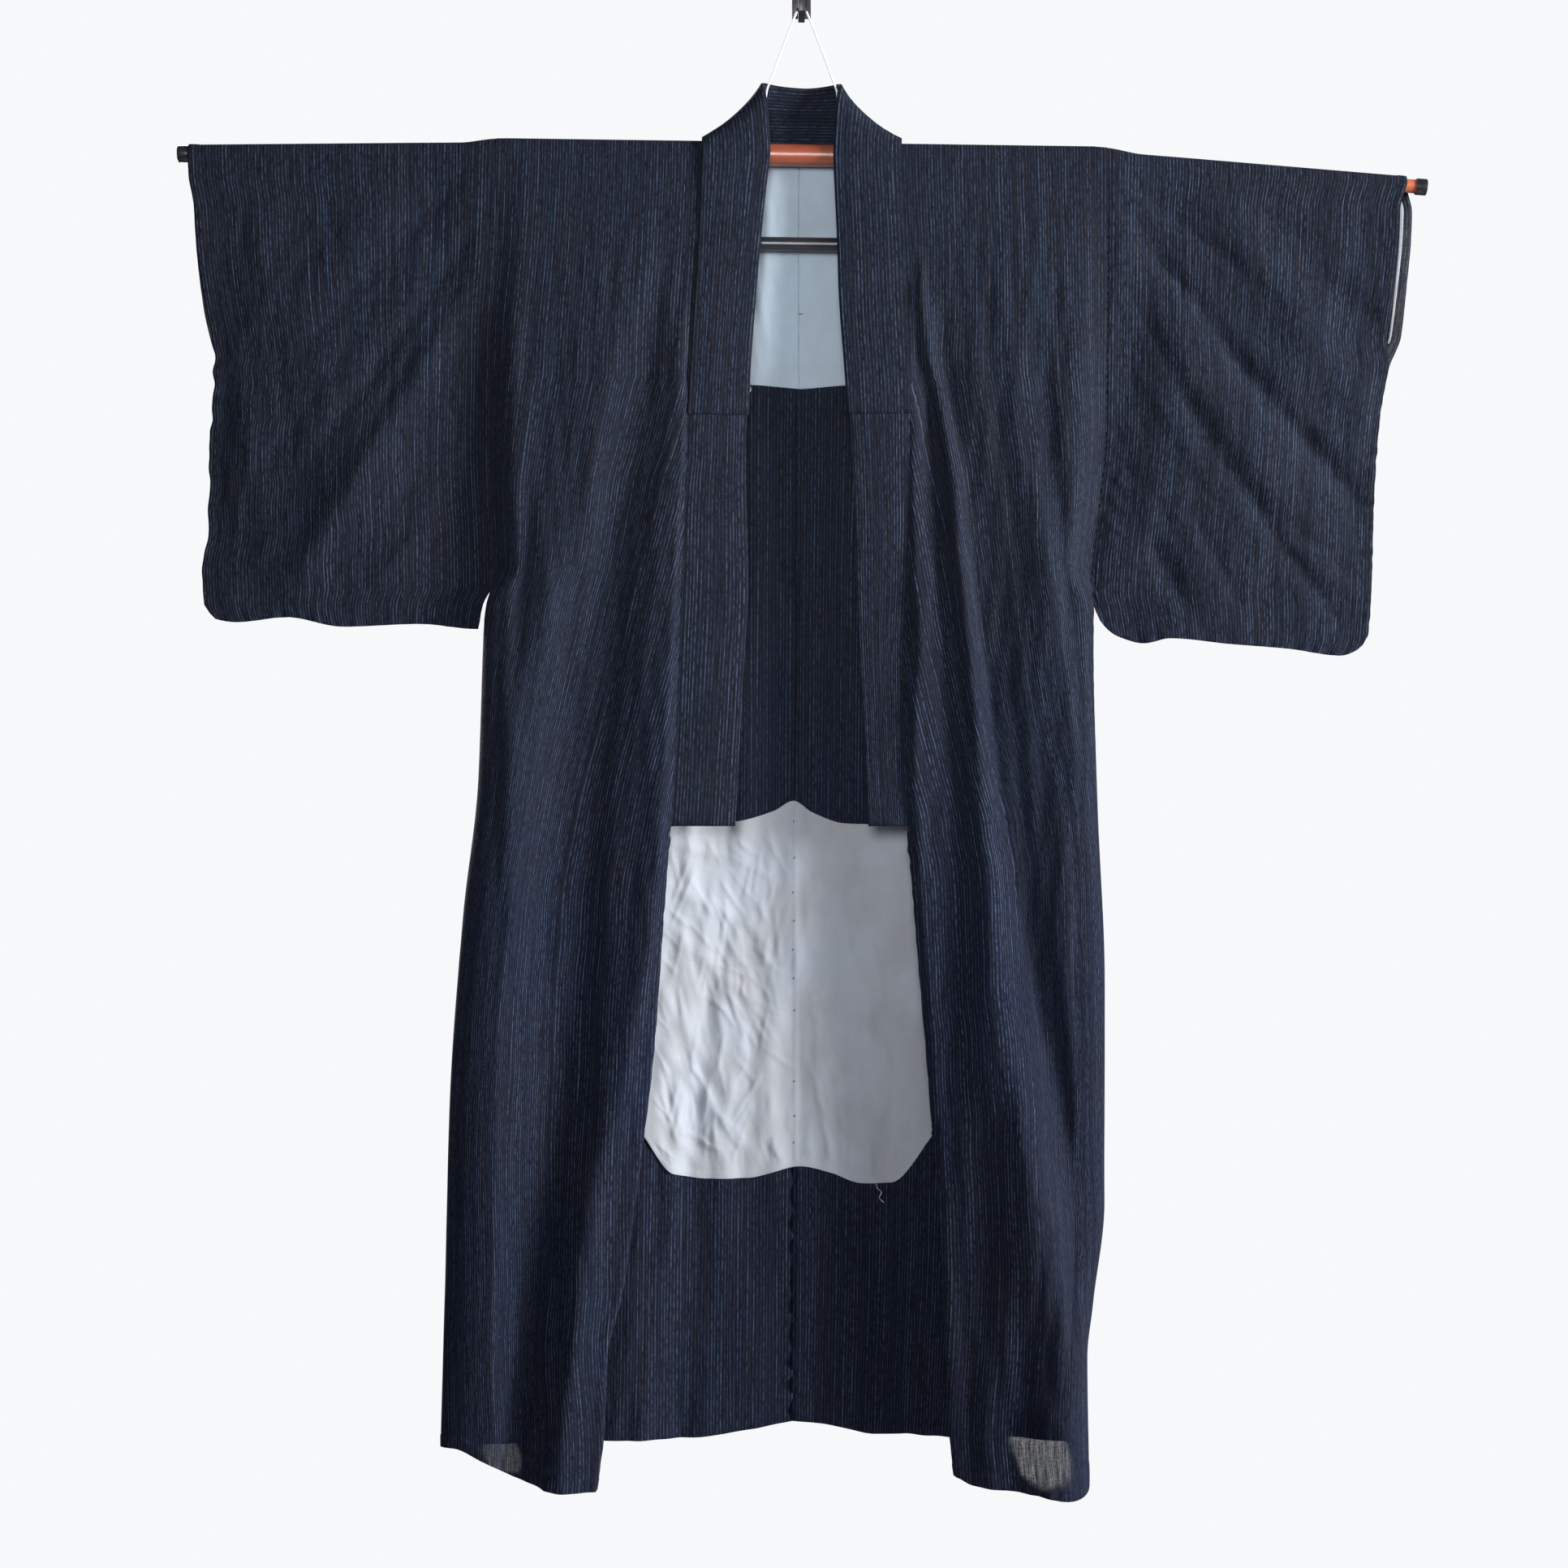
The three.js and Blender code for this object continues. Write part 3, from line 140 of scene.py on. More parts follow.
class Ripples:
    """A soft uneven surface: waves of random length, slant and place, from one seed."""

    def __init__(self, seed, count, across, down, height):
        pick = np.random.default_rng(seed)
        self.kx = 2 * math.pi / pick.uniform(*across, count)
        self.kd = 2 * math.pi / pick.uniform(*down, count) * pick.choice([-1, 1], count)
        self.phase = pick.uniform(0, 2 * math.pi, count)
        self.height = height * math.sqrt(2 / count) * pick.uniform(0.6, 1.4, count)

    def __call__(self, x, drop):
        total = 0
        for h, kx, kd, phase in zip(self.height, self.kx, self.kd, self.phase):
            total = total + h * np.sin(kx * x + kd * drop + phase)
        return total


def place(x, y, drop):
    x, y, drop = np.broadcast_arrays(x, y, drop)
    return np.stack([x, ROD_Y + y, ROD_Z - drop], axis=-1)


# Outline tables: rows are (drop, x out from the middle), or for the hems (share of the way across, drop).
# "fold" is how much of the front edge is turned in, and "free" where the collar's free edge lies.
OUTLINE = {
    "left": {
        "sign": -1,
        "side": [(0, 319), (92, 322), (192, 329), (317, 331), (440, 326), (498, 330), (656, 335), (796, 350),
                 (1001, 364), (1161, 368), (1332, 373)],
        "seam": [(0, 319), (92, 322), (192, 329), (317, 331), (440, 326), (560, 325), (800, 324),
                 (1345, 332)],
        "inner": [(-20, 103), (0, 103), (87, 106), (154, 110), (253, 116), (340, 121), (445, 125), (656, 133),
                  (796, 143), (936, 153), (1022, 163), (1092, 172), (1184, 185), (1249, 201), (1327, 204),
                  (1390, 212)],
        "free": [(0, 35), (54, 41), (154, 50), (243, 56), (339, 58), (451, 56), (563, 62), (703, 69)],
        "fold": [(300, 0), (380, 8), (700, 9), (1375, 88)],
        "hem": [(0, 1345), (0.2, 1343), (0.3, 1356), (0.42, 1375), (0.6, 1386), (0.7, 1387), (0.76, 1377),
                (1, 1366)],
        "back_hem": [(0, 1333), (0.15, 1341), (0.35, 1348), (1, 1345)],
    },
    "right": {
        "sign": 1,
        "side": [(0, 319), (281, 319), (357, 313), (440, 304), (524, 303), (687, 307), (857, 314),
                 (1092, 314), (1196, 301), (1249, 294), (1371, 296)],
        "seam": [(0, 319), (281, 319), (357, 313), (440, 304), (560, 300), (800, 297), (1100, 294),
                 (1345, 276)],
        "inner": [(-20, 103), (0, 103), (95, 106), (158, 108), (280, 111), (377, 111), (451, 109), (525, 105),
                  (637, 106), (692, 109), (822, 119), (979, 132), (1162, 145), (1327, 152), (1390, 160)],
        "free": [(0, 35), (95, 39), (154, 41), (239, 47), (339, 53), (488, 58), (563, 62), (702, 69)],
        "fold": [(700, 0), (760, 8), (1375, 63)],
        "hem": [(0, 1345), (0.12, 1366), (0.18, 1385), (0.3, 1391), (0.42, 1387), (0.7, 1381), (0.77, 1373),
                (1, 1366)],
        "back_hem": [(0, 1333), (0.15, 1337), (0.3, 1344), (1, 1345)],
    },
}

# Drape of each front, from its front edge out: lines of crests and hollows, and how far each stands forward
DRAPE = {
    "left": [
        ([(300, 118), (700, 137), (1022, 166), (1249, 204), (1390, 215)],
         [(0, 0), (400, -2), (900, 0), (1375, 2)]),
        ([(300, 124), (445, 133), (656, 143), (796, 156), (962, 186), (1137, 226), (1372, 250)],
         [(150, 0), (350, 9), (900, 13), (1375, 14)]),
        ([(114, 138), (254, 166), (370, 187), (482, 212), (615, 228), (937, 249), (1240, 288), (1375, 304)],
         [(60, -1), (254, -4), (500, -10), (900, -12), (1375, -10)]),
        ([(114, 170), (254, 205), (370, 231), (482, 267), (568, 295), (837, 312), (1100, 326), (1370, 350)],
         [(60, 2), (254, 8), (482, 12), (700, 19), (1375, 19)]),
        ([(0, 319), (656, 335), (1001, 364), (1332, 373)], [(200, 0), (700, 2), (1375, 0)]),
    ],
    "right": [
        ([(0, 103), (637, 106), (979, 132), (1390, 160)], [(200, 0), (600, -3), (1375, -6)]),
        ([(200, 110), (347, 115), (432, 118), (517, 121), (637, 117), (760, 123), (979, 142), (1390, 172)],
         [(150, 0), (260, 7), (600, 9), (760, 4), (1375, -3)]),
        ([(197, 120), (273, 134), (347, 142), (424, 148), (517, 156), (600, 160), (760, 156), (979, 166),
          (1390, 196)],
         [(200, 0), (273, -4), (600, -4), (851, 2), (1375, 4)]),
        ([(60, 112), (197, 129), (273, 145), (347, 156), (424, 162), (517, 172), (600, 180), (687, 186),
          (851, 198), (1013, 222), (1104, 244), (1180, 257), (1241, 270), (1302, 278), (1372, 282)],
         [(60, 1), (235, 7), (424, 12), (534, 15), (851, 21), (1100, 28), (1375, 27)]),
        ([(60, 124), (197, 143), (273, 160), (347, 173), (424, 179), (517, 190), (600, 200), (687, 212),
          (851, 242), (1000, 274), (1100, 292), (1200, 299), (1372, 294)],
         [(60, 0), (300, -4), (534, -5), (851, -6), (1121, -10), (1372, -6)]),
        ([(235, 188), (424, 222), (600, 246), (851, 272), (1000, 290), (1100, 303), (1372, 303)],
         [(60, 0), (300, 3), (534, 4), (851, 2), (1000, -5), (1372, -6)]),
        ([(347, 240), (424, 252), (534, 271), (687, 282), (851, 290), (1000, 304), (1372, 306)],
         [(200, 2), (347, 9), (534, 12), (700, 8), (851, 1), (1000, -5), (1372, -6)]),
        ([(347, 262), (424, 272), (534, 290), (687, 298), (851, 304), (1372, 308)],
         [(200, 1), (347, 2), (534, 2), (700, 0), (1372, -4)]),
        ([(0, 319), (524, 304), (857, 314), (1092, 314), (1249, 296)], [(200, 0), (700, 0), (1372, 4)]),
    ],
}
BACK_FOLDS = [
    ((260, -150), (800, -165), (1340, -180), (36, 40), (4, 11)),
    ((700, -70), (1000, -78), (1340, -88), (22, 26), (0, 7)),
    ((260, 140), (800, 152), (1340, 170), (36, 40), (4, 10)),
    ((700, 62), (1000, 70), (1340, 78), (20, 24), (0, 6)),
    ((480, -245), (900, -252), (1340, -250), (18, 22), (0, -8)),
    ((480, 232), (900, 236), (1340, 232), (18, 22), (0, -7)),
]
OKUMI_CUT = [(OKUMI_TOP_DROP, 3), (470, 62), (COLLAR_END_DROP, 118), (960, 140), (1200, 150)]

# Creases on the drape: (drop, x) of the crest at top, middle and bottom, and half width and rise at both ends
FRONT_CREASES = {
    "left": [
        ((200, 299), (350, 297), (560, 306), (12, 12), (5, 4)),
        ((190, 205), (420, 222), (640, 232), (9, 9), (1.6, 1.2)),
        ((520, 176), (700, 196), (860, 208), (7, 8), (1.5, 1.8)),
        ((620, 292), (800, 300), (1010, 322), (8, 10), (1.8, 1.6)),
        ((830, 222), (980, 240), (1160, 266), (8, 9), (2.0, 1.6)),
        ((900, 334), (1050, 340), (1220, 338), (8, 9), (1.6, 2.2)),
        ((1010, 196), (1130, 214), (1250, 234), (7, 8), (1.6, 1.4)),
        ((1180, 300), (1260, 306), (1372, 318), (9, 9), (2.0, 2.6)),
        ((1190, 236), (1290, 258), (1375, 272), (8, 9), (-1.8, -2.4)),
        ((160, 262), (300, 284), (430, 305), (10, 9), (2.0, 2.0)),
        ((110, 132), (220, 140), (330, 150), (8, 8), (1.4, 1.2)),
    ],
    "right": [
        ((330, 204), (520, 226), (700, 240), (8, 10), (2.0, 1.6)),
        ((150, 150), (300, 166), (470, 176), (9, 9), (1.8, 1.4)),
        ((420, 150), (560, 162), (720, 172), (7, 7), (1.6, 1.8)),
        ((560, 206), (760, 224), (960, 240), (8, 9), (2.0, 1.6)),
        ((640, 262), (820, 272), (1000, 284), (8, 9), (1.8, 1.6)),
        ((880, 180), (1000, 196), (1120, 214), (7, 8), (1.6, 1.8)),
        ((1050, 262), (1180, 266), (1300, 262), (8, 9), (1.8, 2.2)),
        ((1150, 196), (1260, 214), (1372, 232), (8, 8), (1.8, 2.2)),
        ((1220, 246), (1300, 258), (1385, 262), (7, 8), (-1.6, -2.2)),
        ((120, 236), (240, 262), (400, 282), (10, 9), (2.2, 2.0)),
        ((90, 196), (190, 212), (320, 226), (9, 9), (1.6, 1.6)),
    ],
}
BACK_CREASES = [
    ((120, -205), (300, -214), (520, -232), (10, 10), (1.6, 1.4)),
    ((420, -112), (640, -118), (880, -122), (9, 10), (1.4, 1.8)),
    ((900, -128), (1100, -136), (1320, -142), (9, 10), (1.6, 2.2)),
    ((980, -30), (1130, -34), (1330, -44), (8, 9), (1.2, 1.8)),
    ((560, -206), (820, -214), (1060, -222), (9, 10), (1.6, 1.8)),
    ((140, 196), (320, 206), (520, 222), (10, 10), (1.6, 1.2)),
    ((460, 104), (700, 110), (900, 112), (9, 10), (1.4, 1.8)),
    ((880, 118), (1080, 124), (1320, 130), (9, 10), (1.8, 2.4)),
    ((1000, 26), (1150, 34), (1330, 40), (8, 9), (1.4, 1.8)),
    ((600, 198), (860, 204), (1100, 210), (9, 10), (1.6, 1.8)),
]

SLEEVE = {
    "left": {
        # The cuff is open above this drop
        "opening": 216.0,
        "cuff": [(-8, 641.4), (92, 636), (159, 627), (200, 617), (213, 613), (226, 616), (240, 614),
                 (262, 617), (275, 616), (290, 619), (330, 620), (345, 618.5), (372, 621), (392, 620),
                 (433, 627), (470, 625), (500, 612)],
        # How far the front and the back layer's edges stand out beyond the cuff where it is open
        "edges": (-4.5, 0),
        "bottom": [(326, 494), (341, 496), (398, 491), (479, 494), (538, 484), (591, 489), (612, 486),
                   (627, 468)],
        "inner": [(440, 326), (452, 326), (470, 334), (496, 339)],
        # Each fold: (x, drop) of its two ends, half width, rise
        "folds": [
            ((350, 150), (530, 455), 15, 4.5), ((420, 290), (560, 480), 34, 7),
            ((560, 60), (590, 430), 22, 3), ((440, 60), (560, 190), 26, 3),
        ],
        "creases": [
            ((334, 70), (500, 305), 10, -3.2), ((345, 12), (515, 200), 9, -1.9),
            ((350, 120), (440, 270), 7, -1.6), ((352, 300), (430, 440), 9, 1.6),
            ((420, 120), (560, 330), 10, -1.2), ((500, 60), (600, 220), 9, 1.2),
            ((380, 380), (470, 475), 8, 1.5), ((520, 360), (600, 470), 10, 1.6),
            ((345, 400), (380, 480), 7, 1.4), ((395, 330), (430, 372), 8, -1.8),
            ((360, 380), (400, 420), 6, -1.2),
        ],
    },
    "right": {
        "opening": 228.0,
        "cuff": [(20, 634), (81, 632), (150, 625), (213, 616), (275, 605), (355, 599), (454, 596), (506, 592),
                 (530, 580)],
        "edges": (-8.5, 8.5),
        "bottom": [(306, 470), (312, 486), (330, 503), (359, 511), (385, 506), (447, 512), (509, 517),
                   (564, 524), (584, 516), (594, 500)],
        "inner": [(440, 304), (458, 303), (474, 307), (520, 316)],
        "folds": [
            ((440, 200), (580, 362), 13, -6.5), ((430, 60), (600, 275), 26, 5),
            ((395, 250), (485, 385), 12, -4.2), ((365, 400), (415, 505), 11, -4.5),
            ((530, 120), (622, 195), 14, -3), ((350, 150), (560, 430), 30, 4),
        ],
        "creases": [
            ((335, 24), (445, 112), 6, -1.7), ((430, 98), (500, 165), 8, -1.4),
            ((340, 60), (475, 245), 9, -3.0), ((345, 150), (415, 282), 8, -2.6),
            ((460, 350), (535, 458), 8, -2.4), ((528, 442), (584, 515), 8, -2.2),
            ((350, 92), (398, 142), 6, -1.5), ((440, 330), (575, 440), 8, -1.6),
            ((350, 330), (392, 402), 7, -1.6), ((410, 380), (462, 480), 8, -2.0),
            ((480, 250), (600, 330), 9, 1.6), ((500, 400), (590, 470), 7, 1.6),
            ((345, 215), (420, 340), 7, 1.5), ((470, 60), (600, 130), 9, -1.0),
            ((560, 300), (602, 352), 6, -1.4), ((318, 292), (340, 322), 4, 2.0),
            ((316, 316), (334, 346), 3.5, 1.8), ((312, 340), (336, 372), 4, 2.0),
            ((310, 366), (330, 396), 4, 1.6), ((326, 286), (350, 352), 5, -1.6),
        ],
    },
}

# The collar over the shoulder's end of the neck seam: (x, y from the rod, drop) at seam, middle and free edge
COLLAR_TURN = [
    ((102.3, -15.8, 14), (69, -16.6, 8), (35.2, -15.6, 4)),
    ((101.8, -14.5, -6), (69.5, -16, -16), (36.2, -15.4, -24)),
    ((101.6, -6, -15.2), (71, -12.5, -30), (37.4, -13.6, -46)),
    ((100.4, 8, -14.4), (70.5, -3, -37.5), (39.4, -9, -63)),
    ((96, 15.6, -9.5), (65.5, 7, -41), (41, -1.5, -71.5)),
    ((84, 17.2, -9), (57, 13, -41), (39, 6, -74.5)),
    ((62, 17.6, -9), (43, 16.6, -41.5), (30, 13, -74.5)),
    ((30, 17.8, -9), (21, 17.8, -41), (15, 16, -73)),
]
COLLAR_MIDDLE = ((0, 17.8, -9), (0, 18, -41), (0, 17, -72.5))

YOKE_HALF, YOKE_TOP = 180.0, 3.0
YOKE_BOTTOM = [(0, 242), (50, 238), (180, 234)]
SEAT_TOP = [(-152, 704), (-70, 698), (-30, 687), (-8, 676), (11, 688), (47, 700), (148, 702)]
SEAT_BOTTOM = [(-168, 1026), (-135, 1069), (-98, 1075), (-60, 1075), (-1, 1063), (29, 1069), (64, 1080),
               (94, 1079), (140, 1026)]
SEAT_LEFT = [(700, -152), (1040, -170)]
SEAT_RIGHT = [(700, 148), (1040, 141)]

ROD_XS = (ARM_END["left"][0], -TUBE_HALF, TUBE_HALF, ARM_END["right"][0])
ROD_DROPS = (ARM_END["left"][1], -TUBE_HALF * math.tan(TILT), TUBE_HALF * math.tan(TILT), ARM_END["right"][1])

soft_front = Ripples(11, 9, (46, 120), (260, 900), 1.3)
fine_front = Ripples(12, 16, (15, 34), (60, 260), 0.32)
soft_back = Ripples(13, 9, (50, 130), (260, 900), 1.2)
fine_back = Ripples(14, 16, (16, 36), (60, 240), 0.32)
soft_sleeve = Ripples(15, 9, (70, 160), (140, 400), 0.9)
fine_sleeve = Ripples(16, 16, (16, 36), (60, 220), 0.22)


def rod_drop(x):
    """The rod is straight from end to end of the tube and bends down at the arms."""
    return np.interp(x, ROD_XS, ROD_DROPS)


def fold_height(fold, x, drop):
    """Height of one fold at a place. It swells from its top end and dies out past its bottom end."""
    (d0, _), _, (d1, _), widths, rises = fold
    t = np.clip((drop - d0) / (d1 - d0), 0, 1)
    reach = min(90, (d1 - d0) / 3)
    fade = ease(d0 - reach, d0 + reach, drop) * (1 - ease(d1 + reach / 3, d1 + reach * 1.8, drop))
    q = (x - along(fold[:3], drop)) / lerp(*widths, t)
    return lerp(*rises, t) * fade * np.exp(-q * q)


def drape_height(side, x, drop):
    """How far the drape stands forward: a smooth step from each line of its table to the next."""
    lines = [(along(places, drop), along(heights, drop)) for places, heights in DRAPE[side]]
    height = lines[0][1]
    for (x0, h0), (x1, h1) in zip(lines, lines[1:]):
        height = height + (h1 - h0) * ease(x0, np.maximum(x1, x0 + 4), x)
    return height


def front_depth(side, x, drop):
    base = along(
        [(0, -OVER_ROD_FRONT), (100, -19), (300, -26), (500, -29), (700, -32), (1000, -38), (1400, -44)], drop
    )
    sign = OUTLINE[side]["sign"]
    folds = drape_height(side, x, drop) + sum(fold_height(fold, x, drop) for fold in FRONT_CREASES[side])
    waves = soft_front(sign * x, drop) * ease(40, 300, drop) + fine_front(sign * x, drop)
    return base - (folds + waves) * ease(20, 160, drop)


def back_depth(x, drop):
    middle = along([(0, OVER_ROD_BACK), (200, 19), (500, 24), (900, 29), (1345, 30)], drop)
    flank = along([(0, OVER_ROD_BACK), (200, 15), (440, 2), (900, -5), (1345, -9)], drop)
    out = np.abs(x + 4) / 300
    folds = sum(fold_height(fold, x, drop) for fold in BACK_FOLDS + BACK_CREASES)
    waves = (soft_back(x, drop) * ease(60, 300, drop) + fine_back(x, drop)) * ease(20, 160, drop)
    return lerp(middle, flank, np.clip(out, 0, 1.1) ** 1.9) - folds - waves


def side_seam(side, drop, layer):
    """Where a panel's side edge lies: on the armhole above its foot, and in the side seam below it."""
    table = OUTLINE[side]
    x = along(table["seam"], drop)
    pinch = (CLOTH + SEAM_GAP) / 2
    shut = ease(120, ARMHOLE_DROP, drop)
    middle = lerp((OVER_ROD_BACK - OVER_ROD_FRONT) / 2, back_depth(table["sign"] * x, drop), shut)
    half = lerp((OVER_ROD_BACK + OVER_ROD_FRONT) / 2, pinch, ease(180, ARMHOLE_DROP, drop))
    return x, middle + (-half if layer == "front" else half)


def front_section(side, drop):
    """Levels of a front: from the side seam, round the outer turn, across, and round the front edge."""
    table = OUTLINE[side]
    seam_x, seam_y = side_seam(side, drop, "front")
    outer, inner, fold = (along(table[key], drop) for key in ("side", "inner", "fold"))
    turn = ease(ARMHOLE_DROP - 10, ARMHOLE_DROP + 40, drop)
    start = np.minimum(seam_x, outer) - lerp(34, 12, turn)
    bulge = np.maximum(0, outer - (seam_x + start) / 2) * turn
    t = np.linspace(0, 1, 29)[None, :]
    xs = [lerp(seam_x, start, t) + bulge * np.sin(math.pi * t)]
    ys = [lerp(seam_y, front_depth(side, start, drop), (1 - np.cos(math.pi * t)) / 2)]
    end = inner + ROLL * ease(0, 2 * ROLL, fold)
    x = lerp(start, end, np.linspace(0, 1, 121)[None, 1:])
    xs.append(x)
    ys.append(front_depth(side, x, drop))
    t = np.linspace(0, 1, 11)[None, 1:]
    angle = np.minimum(fold, math.pi * ROLL) / ROLL * t
    xs.append(end - ROLL * np.sin(angle))
    ys.append(front_depth(side, end, drop) + ROLL * (1 - np.cos(angle)))
    back = fold - math.pi * ROLL
    t = np.linspace(0, 1, 25)[None, 1:]
    x = end + np.maximum(back, 0) * t
    y = front_depth(side, x, drop) + 2 * ROLL + 3 * ease(0, 60, x - end)
    xs.append(np.where(back > 0, x, xs[-1][:, -1:]))
    ys.append(np.where(back > 0, y, ys[-1][:, -1:]))
    return np.concatenate(xs, axis=1), np.concatenate(ys, axis=1)


class Front:
    """A front cut to a place by its length round each level."""

    STEP = 4.0
    SHARES = 301

    def __init__(self, side):
        self.drops = np.arange(-24, 1408, self.STEP)
        xs, ys = front_section(side, self.drops[:, None])
        steps = np.hypot(np.diff(xs, axis=1), np.diff(ys, axis=1))
        reach = np.concatenate([np.zeros((len(self.drops), 1)), np.cumsum(steps, axis=1)], axis=1)
        self.totals = reach[:, -1]
        shares = np.linspace(0, 1, self.SHARES)
        self.points = np.array([
            [np.interp(shares * r[-1], r, line) for line in lines] for r, *lines in zip(reach, xs, ys)
        ])

    def total(self, drop):
        return np.interp(drop, self.drops, self.totals)

    def at(self, share, drop):
        """x out from the middle and y from the rod, at a share of the way round and a drop."""
        share, drop = np.broadcast_arrays(np.asarray(share, float), np.asarray(drop, float))
        r = np.clip((drop - self.drops[0]) / self.STEP, 0, len(self.drops) - 1.001)
        c = np.clip(share, 0, 1) * (self.SHARES - 1.001)
        i, j = r.astype(int), c.astype(int)
        a, b = r - i, c - j
        return [
            lerp(lerp(g[i, j], g[i, j + 1], b), lerp(g[i + 1, j], g[i + 1, j + 1], b), a)
            for g in (self.points[:, 0], self.points[:, 1])
        ]


FRONTS = {side: Front(side) for side in OUTLINE}


def okumi_width(drop):
    return np.where(drop < OKUMI_TOP_DROP - 1, 0, along(OKUMI_CUT, drop))


def front_point(side, v, panel, c):
    """Points of a front. v runs from the rod (0) to the hem (1), c across a panel from its outer edge (0)."""
    front, table = FRONTS[side], OUTLINE[side]
    sign = table["sign"]
    top = rod_drop(sign * (lerp(SHOULDER_HALF, NECK_HALF, c) if panel == "body" else NECK_HALF))

    def share_at(drop):
        seam = 1 - okumi_width(drop) / front.total(drop)
        return c * seam if panel == "body" else lerp(seam, 1, c)

    drop = v * BACK_HEM_DROP + 0 * c
    for _ in range(3):
        drop = lerp(top, along(table["hem"], share_at(drop)), v)
    x, y = front.at(share_at(drop), drop)
    return place(sign * x, y, drop), drop


# Meshes
def normals_of(grid, keep=None):
    """Normals at a grid's points, from the cells round each that are kept."""
    n = np.cross(grid[1:, 1:] - grid[:-1, :-1], grid[1:, :-1] - grid[:-1, 1:])
    n /= np.maximum(np.linalg.norm(n, axis=-1, keepdims=True), 1e-9)
    if keep is not None:
        n *= keep[..., None]
    total = np.zeros_like(grid)
    for i in (0, 1):
        for j in (0, 1):
            total[i:len(grid) - 1 + i, j:grid.shape[1] - 1 + j] += n
    return total / np.maximum(np.linalg.norm(total, axis=-1, keepdims=True), 1e-9)


def make_piece(name, points, faces, uv, slot, finish):
    """A mesh piece from points in millimetres. uv gives a place in the cloth for each point."""
    points, faces = np.asarray(points, float), np.asarray(faces)
    used, faces = np.unique(faces, return_inverse=True)
    faces = faces.reshape(-1, 4)
    mesh = bpy.data.meshes.new(name)
    mesh.from_pydata((points[used] * MM).tolist(), [], faces.tolist())
    layer = mesh.uv_layers.new(name="cloth")
    layer.data.foreach_set("uv", (uv[used][faces.ravel()] * MM).astype(np.float32).ravel())
    mesh.polygons.foreach_set("use_smooth", [True] * len(faces))
    mesh.update()
    piece = bpy.data.objects.new(name, mesh)
    bpy.context.scene.collection.objects.link(piece)
    mesh.materials.append(finish)
    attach(piece, "root")
    return piece


def cloth_shell(grid, thickness, u, v, keep=None):
    """A wall of cloth: a grid of middle points thickened along its normals, open where a cell isn't kept."""
    rows, cols = grid.shape[:2]
    keep = np.ones((rows - 1, cols - 1), bool) if keep is None else keep
    normals = normals_of(grid, keep)
    half = (np.ones((rows, cols)) * thickness / 2)[..., None]
    points = np.concatenate([(grid + normals * half).reshape(-1, 3), (grid - normals * half).reshape(-1, 3)])
    index = np.arange(rows * cols).reshape(rows, cols)
    under = rows * cols
    a, b, c, d = index[:-1, :-1], index[:-1, 1:], index[1:, 1:], index[1:, :-1]
    faces = [np.stack([a, b, c, d], -1)[keep], np.stack([d, c, b, a], -1)[keep] + under]
    wide = np.pad(keep, 1)
    rims = [
        (wide[1:-1, :-2], a, d), (wide[1:-1, 2:], c, b), (wide[:-2, 1:-1], b, a), (wide[2:, 1:-1], d, c),
    ]
    for beside, p, q in rims:
        rim = keep & ~beside
        faces.append(np.stack([p, q, q + under, p + under], -1)[rim])
    u, v = np.broadcast_arrays(u, v)
    uv = np.stack([u, v], -1).reshape(-1, 2)
    return points, np.concatenate(faces), np.concatenate([uv, uv])


def tube(path, radius, sides, twist=None):
    """A closed tube along a line of points. twist is how many strands, how deep, and one turn's length."""
    path = np.asarray(path, float)
    ahead = np.gradient(path, axis=0)
    ahead /= np.linalg.norm(ahead, axis=1, keepdims=True)
    side = np.cross(ahead[0], (0.31, 0.9, 0.27))
    side /= np.linalg.norm(side)
    frames = []
    for t in ahead:
        side = side - t * side.dot(t)
        side /= np.linalg.norm(side)
        frames.append((side, np.cross(t, side)))
    reach = reach_along(path)
    angle = np.arange(sides) * 2 * math.pi / sides
    rings = []
    for p, (s, w), run in zip(path, frames, reach):
        r = np.full(sides, float(radius))
        if twist:
            strands, deep, turn = twist
            r = r * (1 - deep + deep * np.abs(np.cos(strands / 2 * (angle - 2 * math.pi * run / turn))))
        rings.append(p + (np.cos(angle) * r)[:, None] * s + (np.sin(angle) * r)[:, None] * w)
    points = np.concatenate([*rings, path[:1], path[-1:]])
    faces = []
    for i in range(len(path) - 1):
        for j in range(sides):
            k = (j + 1) % sides
            faces.append((i * sides + j, i * sides + k, (i + 1) * sides + k, (i + 1) * sides + j))
    first, last = len(points) - 2, len(points) - 1
    top = (len(path) - 1) * sides
    for j in range(0, sides, 2):
        k, m = (j + 1) % sides, (j + 2) % sides
        faces.append((first, m, k, j))
        faces.append((last, top + j, top + k, top + m))
    uv = np.stack([np.tile(angle * radius, len(path)), np.repeat(reach, sides)], -1)
    return points, faces, np.concatenate([uv, uv[:1], uv[-1:]])


def joined(parts):
    """Several meshes as one."""
    points, faces, uvs = zip(*parts)
    starts = np.cumsum([0] + [len(p) for p in points])
    faces = [np.asarray(f) + start for f, start in zip(faces, starts)]
    return np.concatenate(points), np.concatenate(faces), np.concatenate(uvs)


